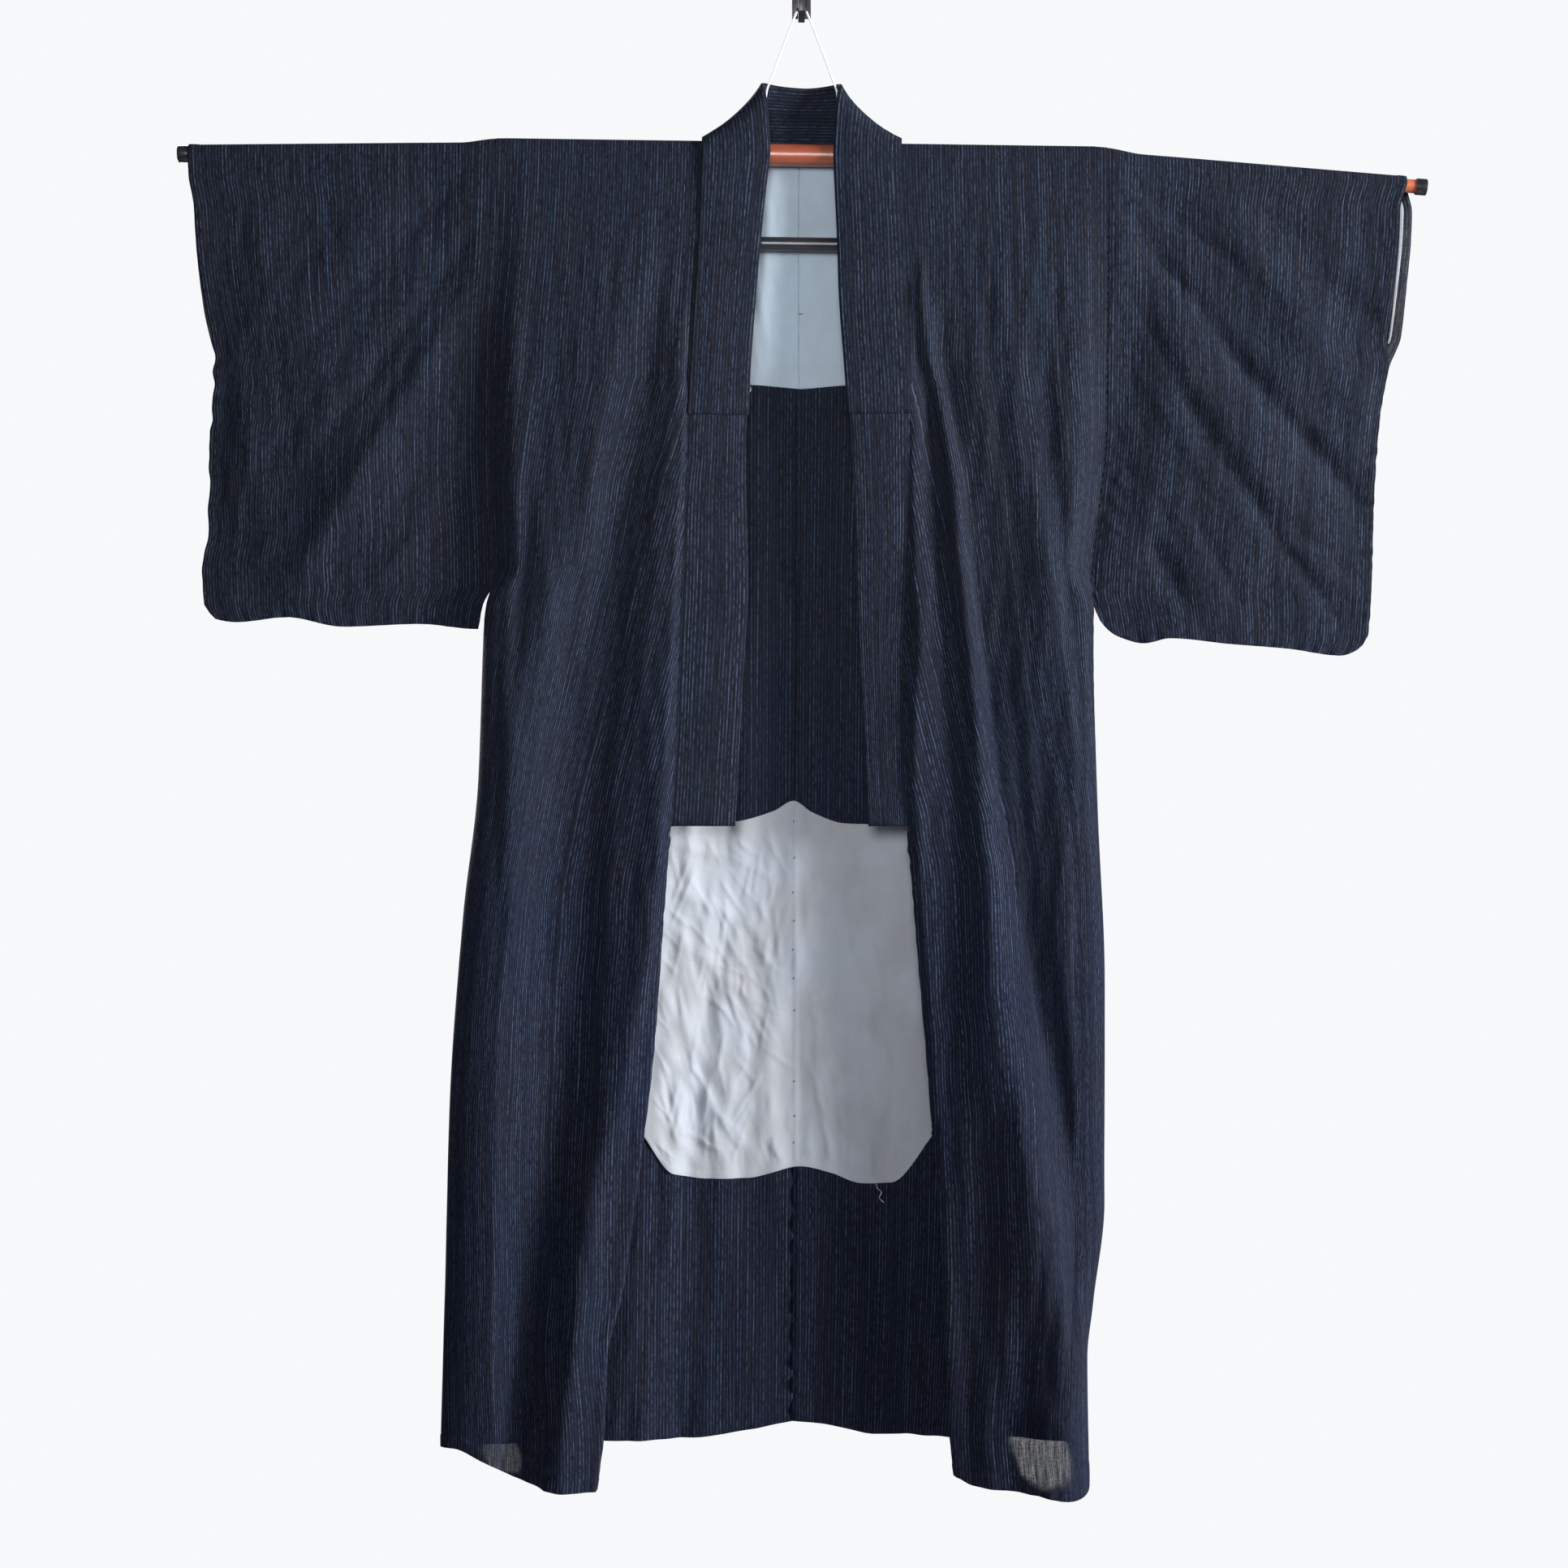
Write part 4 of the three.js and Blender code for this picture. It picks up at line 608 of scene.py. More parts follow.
# Finishes
class Value:
    """A value in a material, so that its sums and products read as plain maths."""

    def __init__(self, finish, socket):
        self.finish, self.socket = finish, socket

    def maths(self, operation, *others):
        return self.finish.node("ShaderNodeMath", {"operation": operation}, dict(enumerate((self, *others))))

    def __add__(self, other):
        return self.maths("ADD", other)

    def __mul__(self, other):
        return self.maths("MULTIPLY", other)

    def __sub__(self, other):
        return self.maths("SUBTRACT", other)

    def __rsub__(self, other):
        return self.maths("MULTIPLY_ADD", -1.0, other)

    def __truediv__(self, other):
        return self.maths("DIVIDE", other)

    def __abs__(self):
        return self.maths("ABSOLUTE")

    __radd__ = __add__
    __rmul__ = __mul__


class Finish:
    """One material and its surface."""

    def __init__(self, name):
        self.material = bpy.data.materials.new(name)
        self.material.use_nodes = True
        self.tree = self.material.node_tree
        self.surface = self.tree.nodes["Principled BSDF"]

    def node(self, kind, settings=None, inputs=None, output=0):
        """Adds a node, with its settings and then its inputs, and gives the value that it puts out."""
        node = self.tree.nodes.new(kind)
        for key, value in (settings or {}).items():
            setattr(node, key, value)
        for key, value in (inputs or {}).items():
            self.feed(node.inputs[key], value)
        return Value(self, node.outputs[output])

    def feed(self, socket, value):
        if isinstance(value, Value):
            self.tree.links.new(value.socket, socket)
        else:
            socket.default_value = value

    def set(self, **sockets):
        """Feeds the surface's sockets, with _ for each space in a name."""
        for key, value in sockets.items():
            self.feed(self.surface.inputs[key.replace("_", " ")], value)

    def split(self, vector, count):
        """The first numbers of a place, in millimetres."""
        parts = self.node("ShaderNodeSeparateXYZ", {}, {0: vector}).socket.node.outputs
        return [Value(self, parts[k]) * (1 / MM) for k in range(count)]

    def cloth_place(self):
        """The place in the cloth: across the warp, and along it."""
        return self.split(self.node("ShaderNodeUVMap", {"uv_map": "cloth"}), 2)

    def object_place(self):
        return self.split(self.node("ShaderNodeTexCoord", output="Object"), 3)

    def vector(self, x, y, z=0.0):
        return self.node("ShaderNodeCombineXYZ", {}, {0: x, 1: y, 2: z})

    def noise(self, x, y, z=0.0, detail=2.0):
        inputs = {"Vector": self.vector(x, y, z), "Scale": 1.0, "Detail": detail}
        return self.node("ShaderNodeTexNoise", {}, inputs)

    def chance(self, value):
        """A number from 0 to 1 drawn for each value."""
        return self.node("ShaderNodeTexWhiteNoise", {"noise_dimensions": "1D"}, {"W": value})

    def step(self, value, low, high, to_low=0.0, to_high=1.0):
        """A smooth step from one level to another as a value goes from low to high."""
        inputs = {0: value, 1: low, 2: high, 3: to_low, 4: to_high}
        return self.node("ShaderNodeMapRange", {"interpolation_type": "SMOOTHSTEP"}, inputs)

    def mix(self, share, a, b, blend="MIX"):
        a, b = ((*c, 1.0) if isinstance(c, tuple) else c for c in (a, b))
        settings = {"data_type": "RGBA", "blend_type": blend}
        return self.node("ShaderNodeMix", settings, {0: share, 6: a, 7: b}, 2)

    def tinted(self, colour, tone):
        """A colour made lighter or darker by a value."""
        return self.mix(1.0, colour, self.vector(tone, tone, tone), "MULTIPLY")

    def bump(self, height, distance):
        return self.node("ShaderNodeBump", {}, {"Height": height, "Distance": distance * MM, "Strength": 1.0})


# Worn places where one layer lets the wall show through:
# x and drop of the middle, half width and height, slant, strength, and the layer's y from and to
SHEER = {
    "left": (-308, 1352, 20, 20, 0.25, 0.6, -50, -60),
    "right": (244, 1340, 32, 42, 0.25, 1.0, -50, -60),
    "sleeve_left": (-629, 130, 11, 105, 0.09, 0.5, -48, -42),
    "sleeve_right": (626, 160, 9, 125, -0.10, 0.6, -48, -42),
}


# Colours of the striped cloth: two casts of its ground, and its thin and its light threads
BROWN_CAST, BLUE_CAST = (0.027, 0.021, 0.027), (0.012, 0.025, 0.050)
THIN_THREAD, LIGHT_THREAD = (0.022, 0.032, 0.064), (0.082, 0.113, 0.194)
STRIPE = 3.4


def striped_cloth(name, low_tint=(0.013, 0.019, 0.045), high_tint=(0.016, 0.022, 0.038), sheer=None):
    """Dark indigo cloth with light, slubby, unevenly spaced warp threads."""
    f = Finish(name)
    u, v = f.cloth_place()
    x, y, z = f.object_place()
    wander = f.noise(u / 13, v / 260)
    across = u / STRIPE + wander * 1.3
    cell = across.maths("FLOOR")
    off = abs(across - cell - 0.5)
    lot = f.chance(cell)
    slub = f.noise(cell * 3.7, v / 7, 0.0, 3.0)
    faint = f.noise(cell * 9.1 + 40, v / 90)
    line = f.step(off, 0.21, 0.07) * f.step(slub + faint * 0.5, 0.52, 1.0) * (0.25 + 0.75 * lot)
    fine = u / (STRIPE / 3) + wander * 3.9
    between = abs(fine.maths("FRACT") - 0.5)
    thin = f.step(between, 0.3, 0.1) * f.step(f.noise(fine.maths("FLOOR") * 5.3, v / 11), 0.45, 0.8)
    weft = f.noise(u / 5, v / 1.3) * 0.6 + f.noise(u / 2.6, v * 1.1) * 0.4
    yarn = f.noise(u * 1.2, v / 38)
    band = f.noise(u / 9, v / 500)
    patch = f.noise(x / 120, z / 160, y / 120)
    low = f.step(z, ROD_Z - 350, ROD_Z - 950)
    ground = f.mix(low, high_tint, low_tint)
    tint = f.noise(u / 4, v / 220)
    ground = f.mix(f.step(tint + patch * 0.4, 0.55, 0.85) * 0.45, ground, BROWN_CAST)
    ground = f.mix(f.step(band, 0.5, 0.75) * 0.5, ground, BLUE_CAST)
    # Painted light: the back layer, behind the rod and down to about 850 below it, is made up to a third
    # lighter. This stands in for the light that falls on the inside of the back through the open front.
    inside = f.step(y, -32, -20) * f.step(z, ROD_Z - 1000, ROD_Z - 850)
    ground = f.tinted(ground, (-0.16 + weft * 0.6 + yarn * 0.56) * (1 + inside * 0.35))
    colour = f.mix(thin * 0.36, ground, THIN_THREAD)
    colour = f.mix(line * 0.68, colour, LIGHT_THREAD)
    if sheer:
        sheer_x, sheer_drop, half_wide, half_high, slant, strength, near, far = sheer
        below = ROD_Z - sheer_drop - z
        beside = x - sheer_x - below * slant
        away = abs(beside / half_wide).maths("POWER", 3.0) + abs(below / half_high).maths("POWER", 3.0)
        gauze = f.step(away + f.noise(x / 16, z / 30) * 0.8, 1.6, 0.7) * f.step(y, near, far) * strength
        open_weave = f.noise(u / 1.3, v / 26) * 0.5 + f.noise(u / 6, v / 1.8) * 0.25
        open_weave = open_weave + f.noise(u / 8, v / 50) * 0.25
        f.set(Alpha=1 - gauze * f.step(open_weave, 0.25, 0.75, 0.02, 0.62))
    crinkle = f.noise(u / 5, v / 24, 0.0, 3.0)
    height = line * 0.22 + thin * 0.1 + weft * 0.22 + yarn * 0.15 + crinkle * 1.5
    f.set(Base_Color=colour, Roughness=0.9, Normal=f.bump(height, 1.0), Specular_IOR_Level=0.08,
          Sheen_Weight=0.02, Sheen_Roughness=0.5, Sheen_Tint=(0.5, 0.6, 0.9, 1))
    return f.material


def plain_cloth(name, colour, warm, height):
    """Pale, softly creased cotton with a fine weave and slight stains."""
    f = Finish(name)
    u, v = f.cloth_place()
    weave = f.noise(u * 1.4, v / 3) + f.noise(u / 3, v * 1.4)
    stain = f.noise(u / 70, v / 90, 3.0, 3.0)
    soft = f.noise(u / 14, v / 19, 5.0, 3.0)
    tone = 0.84 + weave * 0.09 + soft * 0.14
    f.set(Base_Color=f.tinted(f.mix(f.step(stain, 0.35, 0.7), colour, warm), tone), Roughness=0.9,
          Normal=f.bump(weave * 0.12 + soft * height, 1.0), Sheen_Weight=0.1, Specular_IOR_Level=0.25)
    return f.material


# How far scuffs change the roughness of a hard surface
SCRATCH = 0.25


def hard_gloss(name, colour, dark, roughness, coat):
    """Moulded or painted surface with fine scuffs along it."""
    f = Finish(name)
    x, y, z = f.object_place()
    scuff = f.noise(x / 9, y * 1.5, z * 1.5, 4.0)
    wear = f.noise(x / 60, y / 20, z / 20, 3.0)
    f.set(Base_Color=f.mix(f.step(wear, 0.35, 0.75), colour, dark),
          Roughness=roughness + scuff * SCRATCH - SCRATCH / 2, Normal=f.bump(scuff, 0.03),
          Coat_Weight=coat, Coat_Roughness=0.2)
    return f.material


def twisted_cord(name):
    f = Finish(name)
    u, v = f.cloth_place()
    fibre = f.noise(u * 3, v * 2.2, 0.0, 3.0)
    f.set(Base_Color=f.tinted((0.86, 0.86, 0.88), 0.85 + fibre * 0.28), Roughness=0.8,
          Normal=f.bump(fibre, 0.12), Sheen_Weight=0.15)
    return f.material


def sewing_thread(name, colour):
    f = Finish(name)
    x, y, z = f.object_place()
    ply = f.noise(x * 2, y * 2, z * 2)
    f.set(Base_Color=f.tinted(colour, 0.7 + ply * 0.6), Roughness=0.8, Normal=f.bump(ply, 0.05))
    return f.material


WORN = {name: striped_cloth(f"striped_cloth_{name}", sheer=patch) for name, patch in SHEER.items()}
COLLAR_STRIPED = striped_cloth("collar_cloth", (0.017, 0.023, 0.044), (0.018, 0.024, 0.040))
YOKE_CLOTH = plain_cloth("yoke_lining", (0.42, 0.51, 0.60), (0.39, 0.46, 0.53), 0.7)
SEAT_CLOTH = plain_cloth("seat_lining", (0.39, 0.42, 0.48), (0.35, 0.365, 0.39), 0.6)
TUBE_FINISH = hard_gloss("red_brown_tube", (0.30, 0.070, 0.034), (0.21, 0.047, 0.023), 0.36, coat=0.4)
ARM_FINISH = hard_gloss("brown_arm", (0.42, 0.11, 0.05), (0.33, 0.085, 0.04), 0.38, coat=0.3)
BLACK = hard_gloss("black_plastic", (0.016, 0.016, 0.022), (0.010, 0.010, 0.013), 0.34, coat=0.3)
HOOK_BLACK = hard_gloss("black_hook", (0.013, 0.013, 0.016), (0.022, 0.020, 0.020), 0.42, coat=0.2)
CORD_WHITE = twisted_cord("white_cord")
DARK_THREAD = sewing_thread("dark_thread", (0.012, 0.013, 0.022))
PALE_THREAD = sewing_thread("pale_thread", (0.55, 0.57, 0.62))
SELVEDGE_CLOTH = sewing_thread("selvedge", (0.27, 0.28, 0.30))

# Hanger cord: from an eye on the tube, up inside the neck, over the hook's saddle, and down the same way
EYE_X, EYE_R, EYE_HIGH = 37.6, 3.0, 5.0
SADDLE_Z, SADDLE_R, FLANGE_R, GROOVE, FLANGE = -25.5, 3.6, 6.2, 3.0, 1.8
CORD_ARC = SADDLE_R + SEAM_GAP + CORD_R
NECK_X, NECK_Z = 37.4, ROD_Z + 70


def cord_route():
    lean = math.atan2(NECK_X - CORD_ARC, SADDLE_Z - NECK_Z)

    def strand(sign):
        foot = ROD_Z - rod_drop(sign * EYE_X) + TUBE_R + EYE_HIGH + 2 * SEAM_GAP
        return [
            (sign * EYE_X, foot), (sign * EYE_X, foot + 18), (sign * EYE_X, NECK_Z - 22),
            (sign * NECK_X, NECK_Z - 8), (sign * (NECK_X - 1.5), NECK_Z), (sign * (NECK_X - 5), NECK_Z + 9),
            (sign * lerp(NECK_X, CORD_ARC, 0.5), lerp(NECK_Z, SADDLE_Z, 0.5)),
            (sign * (CORD_ARC * math.cos(lean) + 2.2), SADDLE_Z + CORD_ARC * math.sin(lean) - 5),
        ]

    arc = []
    for i in range(7):
        angle = math.pi - lean - (math.pi - 2 * lean) * i / 6
        arc.append((CORD_ARC * math.cos(angle), SADDLE_Z + CORD_ARC * math.sin(angle)))
    route = strand(-1) + arc + strand(1)[::-1]
    return [(x, ROD_Y, z) for x, z in route]


def add_cord():
    line = spline(cord_route(), 10)
    long = np.linalg.norm(np.diff(line, axis=0), axis=1).sum()
    line = resample(line, int(long / 0.45))
    twisted = tube(line, CORD_R, 18, twist=(3, 0.16, 7.0))
    piece = make_piece("hanger_cord_twist", *twisted, "white_cord", CORD_WHITE)
    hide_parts("hanger_cord")


add_cord()


# Cloth panels. Where each starts in the cloth's width, so that no two show the same stripes
CLOTH_FROM = {
    "body_left": 0, "body_right": 400, "okumi_left": 700, "okumi_right": 900,
    "sleeve_left": 1200, "sleeve_right": 1700, "collar": 2300, "over_collar": 2500,
}
PANELS = {}


def make_panel(name, grid, thickness, u, v, slot, finish, keep=None):
    """A panel of cloth. Its grid and normals are remembered for the sewing."""
    PANELS[name] = grid, normals_of(grid, keep)
    return make_piece(name, *cloth_shell(grid, thickness, u, v, keep), slot, finish)


def edged(count, edge):
    """Even shares from 0 to 1 with one more close to each end."""
    even = np.linspace(0, 1, count + 1)
    return np.concatenate([[0, edge], even[1:-1], [1 - edge, 1]])


def pucker(grid, away, run, height, reach, seed, way=1, keep=None):
    """Small gathers along a seam: away is the distance from it, run the distance along it.

    Both cloths of a seam get the same seed and run, and way turns the push where their normals differ.
    """
    waves = Ripples(seed, 7, (13, 30), (900, 1500), 1.0)
    push = way * height * np.exp(-np.abs(away) / reach) * waves(np.abs(run), 0)
    return grid + normals_of(grid, keep) * push[..., None]


def dip(grid, away, keep=None):
    """Cloth pulled in at a seam, on the side away from its normal."""
    return grid - normals_of(grid, keep) * (DIP_DEEP * np.exp(-((away / DIP_REACH) ** 2)))[..., None]


# Seams: how far the two cloths of one lap, how deep and how far from it they are pulled in,
# the seeds of their gathers, and a distance that no gather reaches
SEAM_LAP, DIP_DEEP, DIP_REACH, FAR = 0.3, 0.7, 2.6, 400
SEAM_SEEDS = {"left": 20, "right": 30, "back": 40}
NECK_COLUMNS, PANEL_COLUMNS = 13, 80
FRONT_ROWS, ROD_ROWS, BACK_ROWS = 250, 18, 190
HEM_FOLD, NECK_RISE = 12.0, 13
BODY_WIDE, BODY_SHOWS = 252.0, 240.0


def hem_levels(count, length):
    """Levels from the rod (0) to the hem (1), closer where the hem is turned up."""
    even = np.linspace(0, 1, count + 1)[1:]
    fine = 1 - np.array([HEM_FOLD + 1.4, HEM_FOLD, HEM_FOLD - 2, 1.0]) / length
    return np.unique(np.concatenate([even, fine]))


def turned(to_edge, more, full, none, rise=1.0):
    """How much thicker cloth is where its edge is turned in: full up to one distance, none past another."""
    return 1 + more * (1 - ease(full, none, to_edge)) * ease(-1, rise, to_edge)


def hem_thickness(to_hem):
    """The turned-up hem is about twice as thick."""
    return CLOTH * turned(to_hem, 0.9, HEM_FOLD - 0.4, HEM_FOLD + 1.0)


def inward(across, down, wide, high):
    """The distance from the nearest edge of a panel."""
    return np.minimum(np.minimum(down, 1 - down) * high, np.minimum(across, 1 - across) * wide)


def body_grid(side):
    table = OUTLINE[side]
    sign = table["sign"]
    panel = edged(PANEL_COLUMNS, 0.004)
    out = np.concatenate([np.linspace(0, 1, NECK_COLUMNS + 1)[:-1] * NECK_HALF,
                          lerp(NECK_HALF, SHOULDER_HALF, panel)])
    share = np.clip((out - NECK_HALF) / (SHOULDER_HALF - NECK_HALF), 0, 1)
    levels = hem_levels(FRONT_ROWS, FRONT_LENGTH)[::-1]
    front, front_drop = front_point(side, levels[:, None], "body", (1 - share)[None, :])
    angle = math.pi * (np.arange(ROD_ROWS + 1) / ROD_ROWS - 0.5)[:, None]
    middle_x = -2 - sign * SEAM_LAP
    x = np.where(out == 0, middle_x, sign * out)[None, :]
    r = np.where(angle < 0, OVER_ROD_FRONT, OVER_ROD_BACK)
    over = place(x, r * np.sin(angle), rod_drop(x) - OVER_ROD_FRONT * np.cos(angle))
    up = np.arange(ROD_ROWS, -1, -1)[:, None] * 3.0
    behind_neck = place(x, OVER_ROD_BACK - 0.1 - up * 0.02, rod_drop(x) - up)
    risen = ease(NECK_HALF, NECK_HALF - 12, out)[None, :] * (up < NECK_RISE)
    over = lerp(over, behind_neck, risen[..., None])
    v = hem_levels(BACK_ROWS, BACK_HEM_DROP)[:, None]
    across = (out / SHOULDER_HALF)[None, :]
    drop = lerp(rod_drop(sign * out)[None, :], along(table["back_hem"], across), v)
    seam_x, seam_y = side_seam(side, drop, "back")
    x = lerp(lerp(-2, -10, drop / BACK_HEM_DROP) - sign * SEAM_LAP, sign * seam_x, across)
    back = place(x, lerp(back_depth(x, drop), seam_y, ease(0.8, 1, across)), drop)
    grid = np.concatenate([front, over, back])
    run = np.concatenate([front_drop, 0 * over[..., 0] + angle * 10, -drop])
    u = np.where(out < NECK_HALF, out - NECK_HALF, share * BODY_WIDE * 0.92)[None, :] + 0 * run
    to_hem = np.concatenate([front_drop[:1] - front_drop, 0 * over[..., 0] + 500, drop[-1:] - drop])
    return grid, u + CLOTH_FROM[f"body_{side}"], run, hem_thickness(to_hem), len(levels), share, out


def add_body(side):
    grid, u, run, thickness, front_rows, share, out = body_grid(side)
    rows, cols = grid.shape[:2]
    i, j = np.arange(rows - 1)[:, None], np.arange(cols - 1)[None, :]
    keep = (j >= NECK_COLUMNS) | (i >= front_rows + ROD_ROWS - NECK_RISE // 3)
    to_side = (1 - share)[None, :] * BODY_SHOWS + 0 * run
    to_seam = np.where(run > OKUMI_TOP_DROP, share[None, :] * BODY_SHOWS, FAR)
    to_middle = np.where(run < -30, out[None, :], FAR)
    below = ease(ARMHOLE_DROP, ARMHOLE_DROP + 60, np.abs(run))
    seed = SEAM_SEEDS[side]
    way = np.where(run > 0, 1, lerp(1, -1, below))
    grid = pucker(grid, to_side, run, 0.8 * ease(20, 60, np.abs(run)), 9, seed, way, keep)
    grid = pucker(grid, to_seam, run, 0.5, 7, seed + 1, keep=keep)
    grid = pucker(grid, to_middle, run, 0.7, 8, SEAM_SEEDS["back"], keep=keep)
    grid = dip(grid, np.minimum(to_seam, np.where(np.abs(run) < 60, FAR, to_side)), keep)
    grid = dip(grid, to_middle, keep)
    piece = make_panel(f"body_cloth_{side}", grid, thickness, u, run, "striped_cloth", WORN[side], keep)
    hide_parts(f"body_{side}")


OKUMI_COLUMNS = 38


def add_okumi(side):
    levels = hem_levels(FRONT_ROWS, FRONT_LENGTH)
    top = (OKUMI_TOP_DROP + 2) / FRONT_LENGTH
    levels = np.concatenate([[top + 0.0008], levels[levels > top + 0.003]])[:, None]
    c = edged(OKUMI_COLUMNS, 0.006)[None, :]
    grid, drop = front_point(side, levels, "okumi", c)
    width = okumi_width(drop)
    grid = pucker(grid, c * width, drop, 0.5, 7, SEAM_SEEDS[side] + 1)
    grid = pucker(grid, (1 - c) * width, drop, 0.6, 7, SEAM_SEEDS[side] + 2)
    grid = dip(grid, c * width)
    thickness = hem_thickness(drop[-1:] - drop)
    u = CLOTH_FROM[f"okumi_{side}"] + c * width
    piece = make_panel(f"okumi_cloth_{side}", grid, thickness, u, drop, "striped_cloth", WORN[side])
    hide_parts(f"okumi_{side}")


SLEEVE_COLUMNS, SLEEVE_ROWS, SLEEVE_OVER = 84, 118, 14


def slant_fold(fold, x, drop):
    """Height at a place of a fold given as two ends, half width and rise."""
    (x0, d0), (x1, d1), width, rise = fold
    length = math.hypot(x1 - x0, d1 - d0)
    t = ((x - x0) * (x1 - x0) + (drop - d0) * (d1 - d0)) / length**2
    off = ((x - x0) * (d1 - d0) - (drop - d0) * (x1 - x0)) / length
    return rise * ease(-0.15, 0.2, t) * (1 - ease(0.85, 1.2, t)) * np.exp(-((off / width) ** 2))


def sleeve_point(side, share, v, layer):
    table, sign = SLEEVE[side], OUTLINE[side]["sign"]
    beyond = table["edges"][layer == "back"]
    drop = v * SLEEVE_HANGS + 0 * share
    for _ in range(5):
        parted = 1 - ease(table["opening"] - 40, table["opening"], drop)
        cuff = along(table["cuff"], drop) + beyond * parted * ease(20, 60, drop)
        seam, below = along(OUTLINE[side]["seam"], drop), along(table["inner"], drop)
        at_body = np.where(drop < ARMHOLE_DROP, seam, below)
        x = lerp(at_body - SEAM_LAP, cuff, share)
        drop = lerp(rod_drop(sign * x), along(table["bottom"], x), v)
    bottom = along(table["bottom"], x)
    pinch = (CLOTH + SEAM_GAP) / 2
    front_y, back_y = side_seam(side, drop, "front")[1], side_seam(side, drop, "back")[1]
    foot = side_seam(side, ARMHOLE_DROP, "back")[1] - pinch
    is_open = drop < ARMHOLE_DROP
    middle_at_body = np.where(is_open, (front_y + back_y) / 2, foot)
    half_at_body = np.where(is_open, (back_y - front_y) / 2, pinch)
    top_half = lerp(OVER_ROD_FRONT, OVER_ARM, ease(0, 0.12, share))
    full = lerp(top_half, 8, ease(0, 140, drop)) * (1 - ease(bottom - 170, bottom - 6, drop)) + pinch
    cuff_shut = ease(0.5, 1, share) * ease(table["opening"] - 110, table["opening"], drop)
    half = lerp(half_at_body, lerp(full, pinch, cuff_shut), ease(0, 0.22, share))
    sway = -5 * ease(30, 300, drop) * np.sin(math.pi * share)
    middle = lerp(middle_at_body, sway - 2 * ease(0, 200, drop), ease(0, 0.3, share))
    inside = (1 - ease(0.93, 1, share)) * (1 - ease(bottom - 60, bottom - 4, drop))
    folds = sum(slant_fold(fold, x, drop) for fold in table["folds"]) * ease(0.02, 0.2, share) * inside
    small = sum(slant_fold(fold, x, drop) for fold in table["creases"]) * ease(0, 0.06, share) * inside
    room = ease(0, 0.06, share) * (1 - ease(bottom - 30, bottom - 4, drop)) * (1 - 0.7 * ease(0.9, 1, share))
    waves = (soft_sleeve(x, drop) + fine_sleeve(x, drop)) * room * ease(10, 80, drop)
    if layer == "front":
        y = middle - half - folds - small - waves
    else:
        y = middle + half - folds * 0.5 - small * 0.3 + waves
    return place(sign * x, y, drop), drop


def add_sleeve(side):
    share = edged(SLEEVE_COLUMNS, 0.0035)[None, :]
    v = hem_levels(SLEEVE_ROWS, SLEEVE_DEEP)[:, None]
    front, front_drop = sleeve_point(side, share, v[::-1], "front")
    back, back_drop = sleeve_point(side, share, v, "back")
    top_front, _ = sleeve_point(side, share, np.zeros((1, 1)), "front")
    top_back, _ = sleeve_point(side, share, np.zeros((1, 1)), "back")
    angle = math.pi * (np.arange(SLEEVE_OVER + 1) / SLEEVE_OVER - 0.5)[:, None]
    half = (top_back[..., 1] - top_front[..., 1]) / 2
    middle = (top_back[..., 1] + top_front[..., 1]) / 2 - ROD_Y
    x = top_front[..., 0]
    lift = np.minimum(half, lerp(OVER_ROD_FRONT, OVER_ARM + 0.6, ease(0, 0.12, share)))
    over = place(x, middle + half * np.sin(angle), rod_drop(x) - lift * np.cos(angle))
    grid = np.concatenate([front, over, back])
    run = np.concatenate([front_drop, 0 * over[..., 0] + angle * 8, -back_drop])
    wide = 322 if side == "left" else 318
    seed = SEAM_SEEDS[side]
    way = np.where(run > 0, 1, -1)
    to_bottom = [front_drop[:1] - front_drop, 0 * over[..., 0] + SLEEVE_HANGS, back_drop[-1:] - back_drop]
    to_body, to_cuff = share * wide + 0 * run, (1 - share) * wide + 0 * run
    grid = pucker(grid, to_body, run, 0.8 * ease(20, 60, np.abs(run)), 9, seed)
    grid = pucker(grid, np.concatenate(to_bottom), to_body, 0.9, 8, seed + 3, way)
    shut = ease(SLEEVE[side]["opening"] - 20, SLEEVE[side]["opening"] + 20, np.abs(run))
    grid = pucker(grid, to_cuff, run, 0.3 + 0.6 * shut, 8, seed + 4, way)
    grid = dip(grid, np.where(np.abs(run) < 40, FAR, to_body))
    thickness = CLOTH * turned(to_cuff, 0.8, 9.0, 10.5, 1.2)
    u = CLOTH_FROM[f"sleeve_{side}"] + share * 322 + 0 * run
    worn = WORN[f"sleeve_{side}"]
    piece = make_panel(f"sleeve_cloth_{side}", grid, thickness, u, run, "striped_cloth", worn)
    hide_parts(f"sleeve_{side}")


# Collar and over-collar
BAND_COLUMNS, BAND_STEP = 16, 4.2
COLLAR_WIDE = 66.0


def collar_rows(from_drop):
    """Rows of the band from one front round the neck to the other, as seam, middle and free edge."""

    def half(side):
        table, front = OUTLINE[side], FRONTS[side]
        sign = table["sign"]
        drops = np.arange(from_drop, 34, -3.0)
        end_x, end_y = front.at(1.0, drops)
        tucked = ease(0, 6, along(table["fold"], drops))
        x = end_x - lerp(-SEAM_LAP, -1.5, tucked)
        y = end_y + 2.6 * tucked
        free_x = along(table["free"], drops)
        seam = place(sign * (x + 0.8), y - 0.5, drops)
        free = place(sign * free_x, y + 1.5, drops)
        middle = place(sign * (x + free_x) / 2, y - 0.85, drops)
        rows = np.stack([seam, middle, free], axis=1)
        turn = np.array([
            [place(sign * (px + 1.6 * (px > 95)), py, d + rod_drop(sign * px)) for px, py, d in row]
            for row in COLLAR_TURN
        ])
        return np.concatenate([rows, turn])

    centre = np.array([[place(*p) for p in COLLAR_MIDDLE]])
    return np.concatenate([half("left"), centre, half("right")[::-1]])


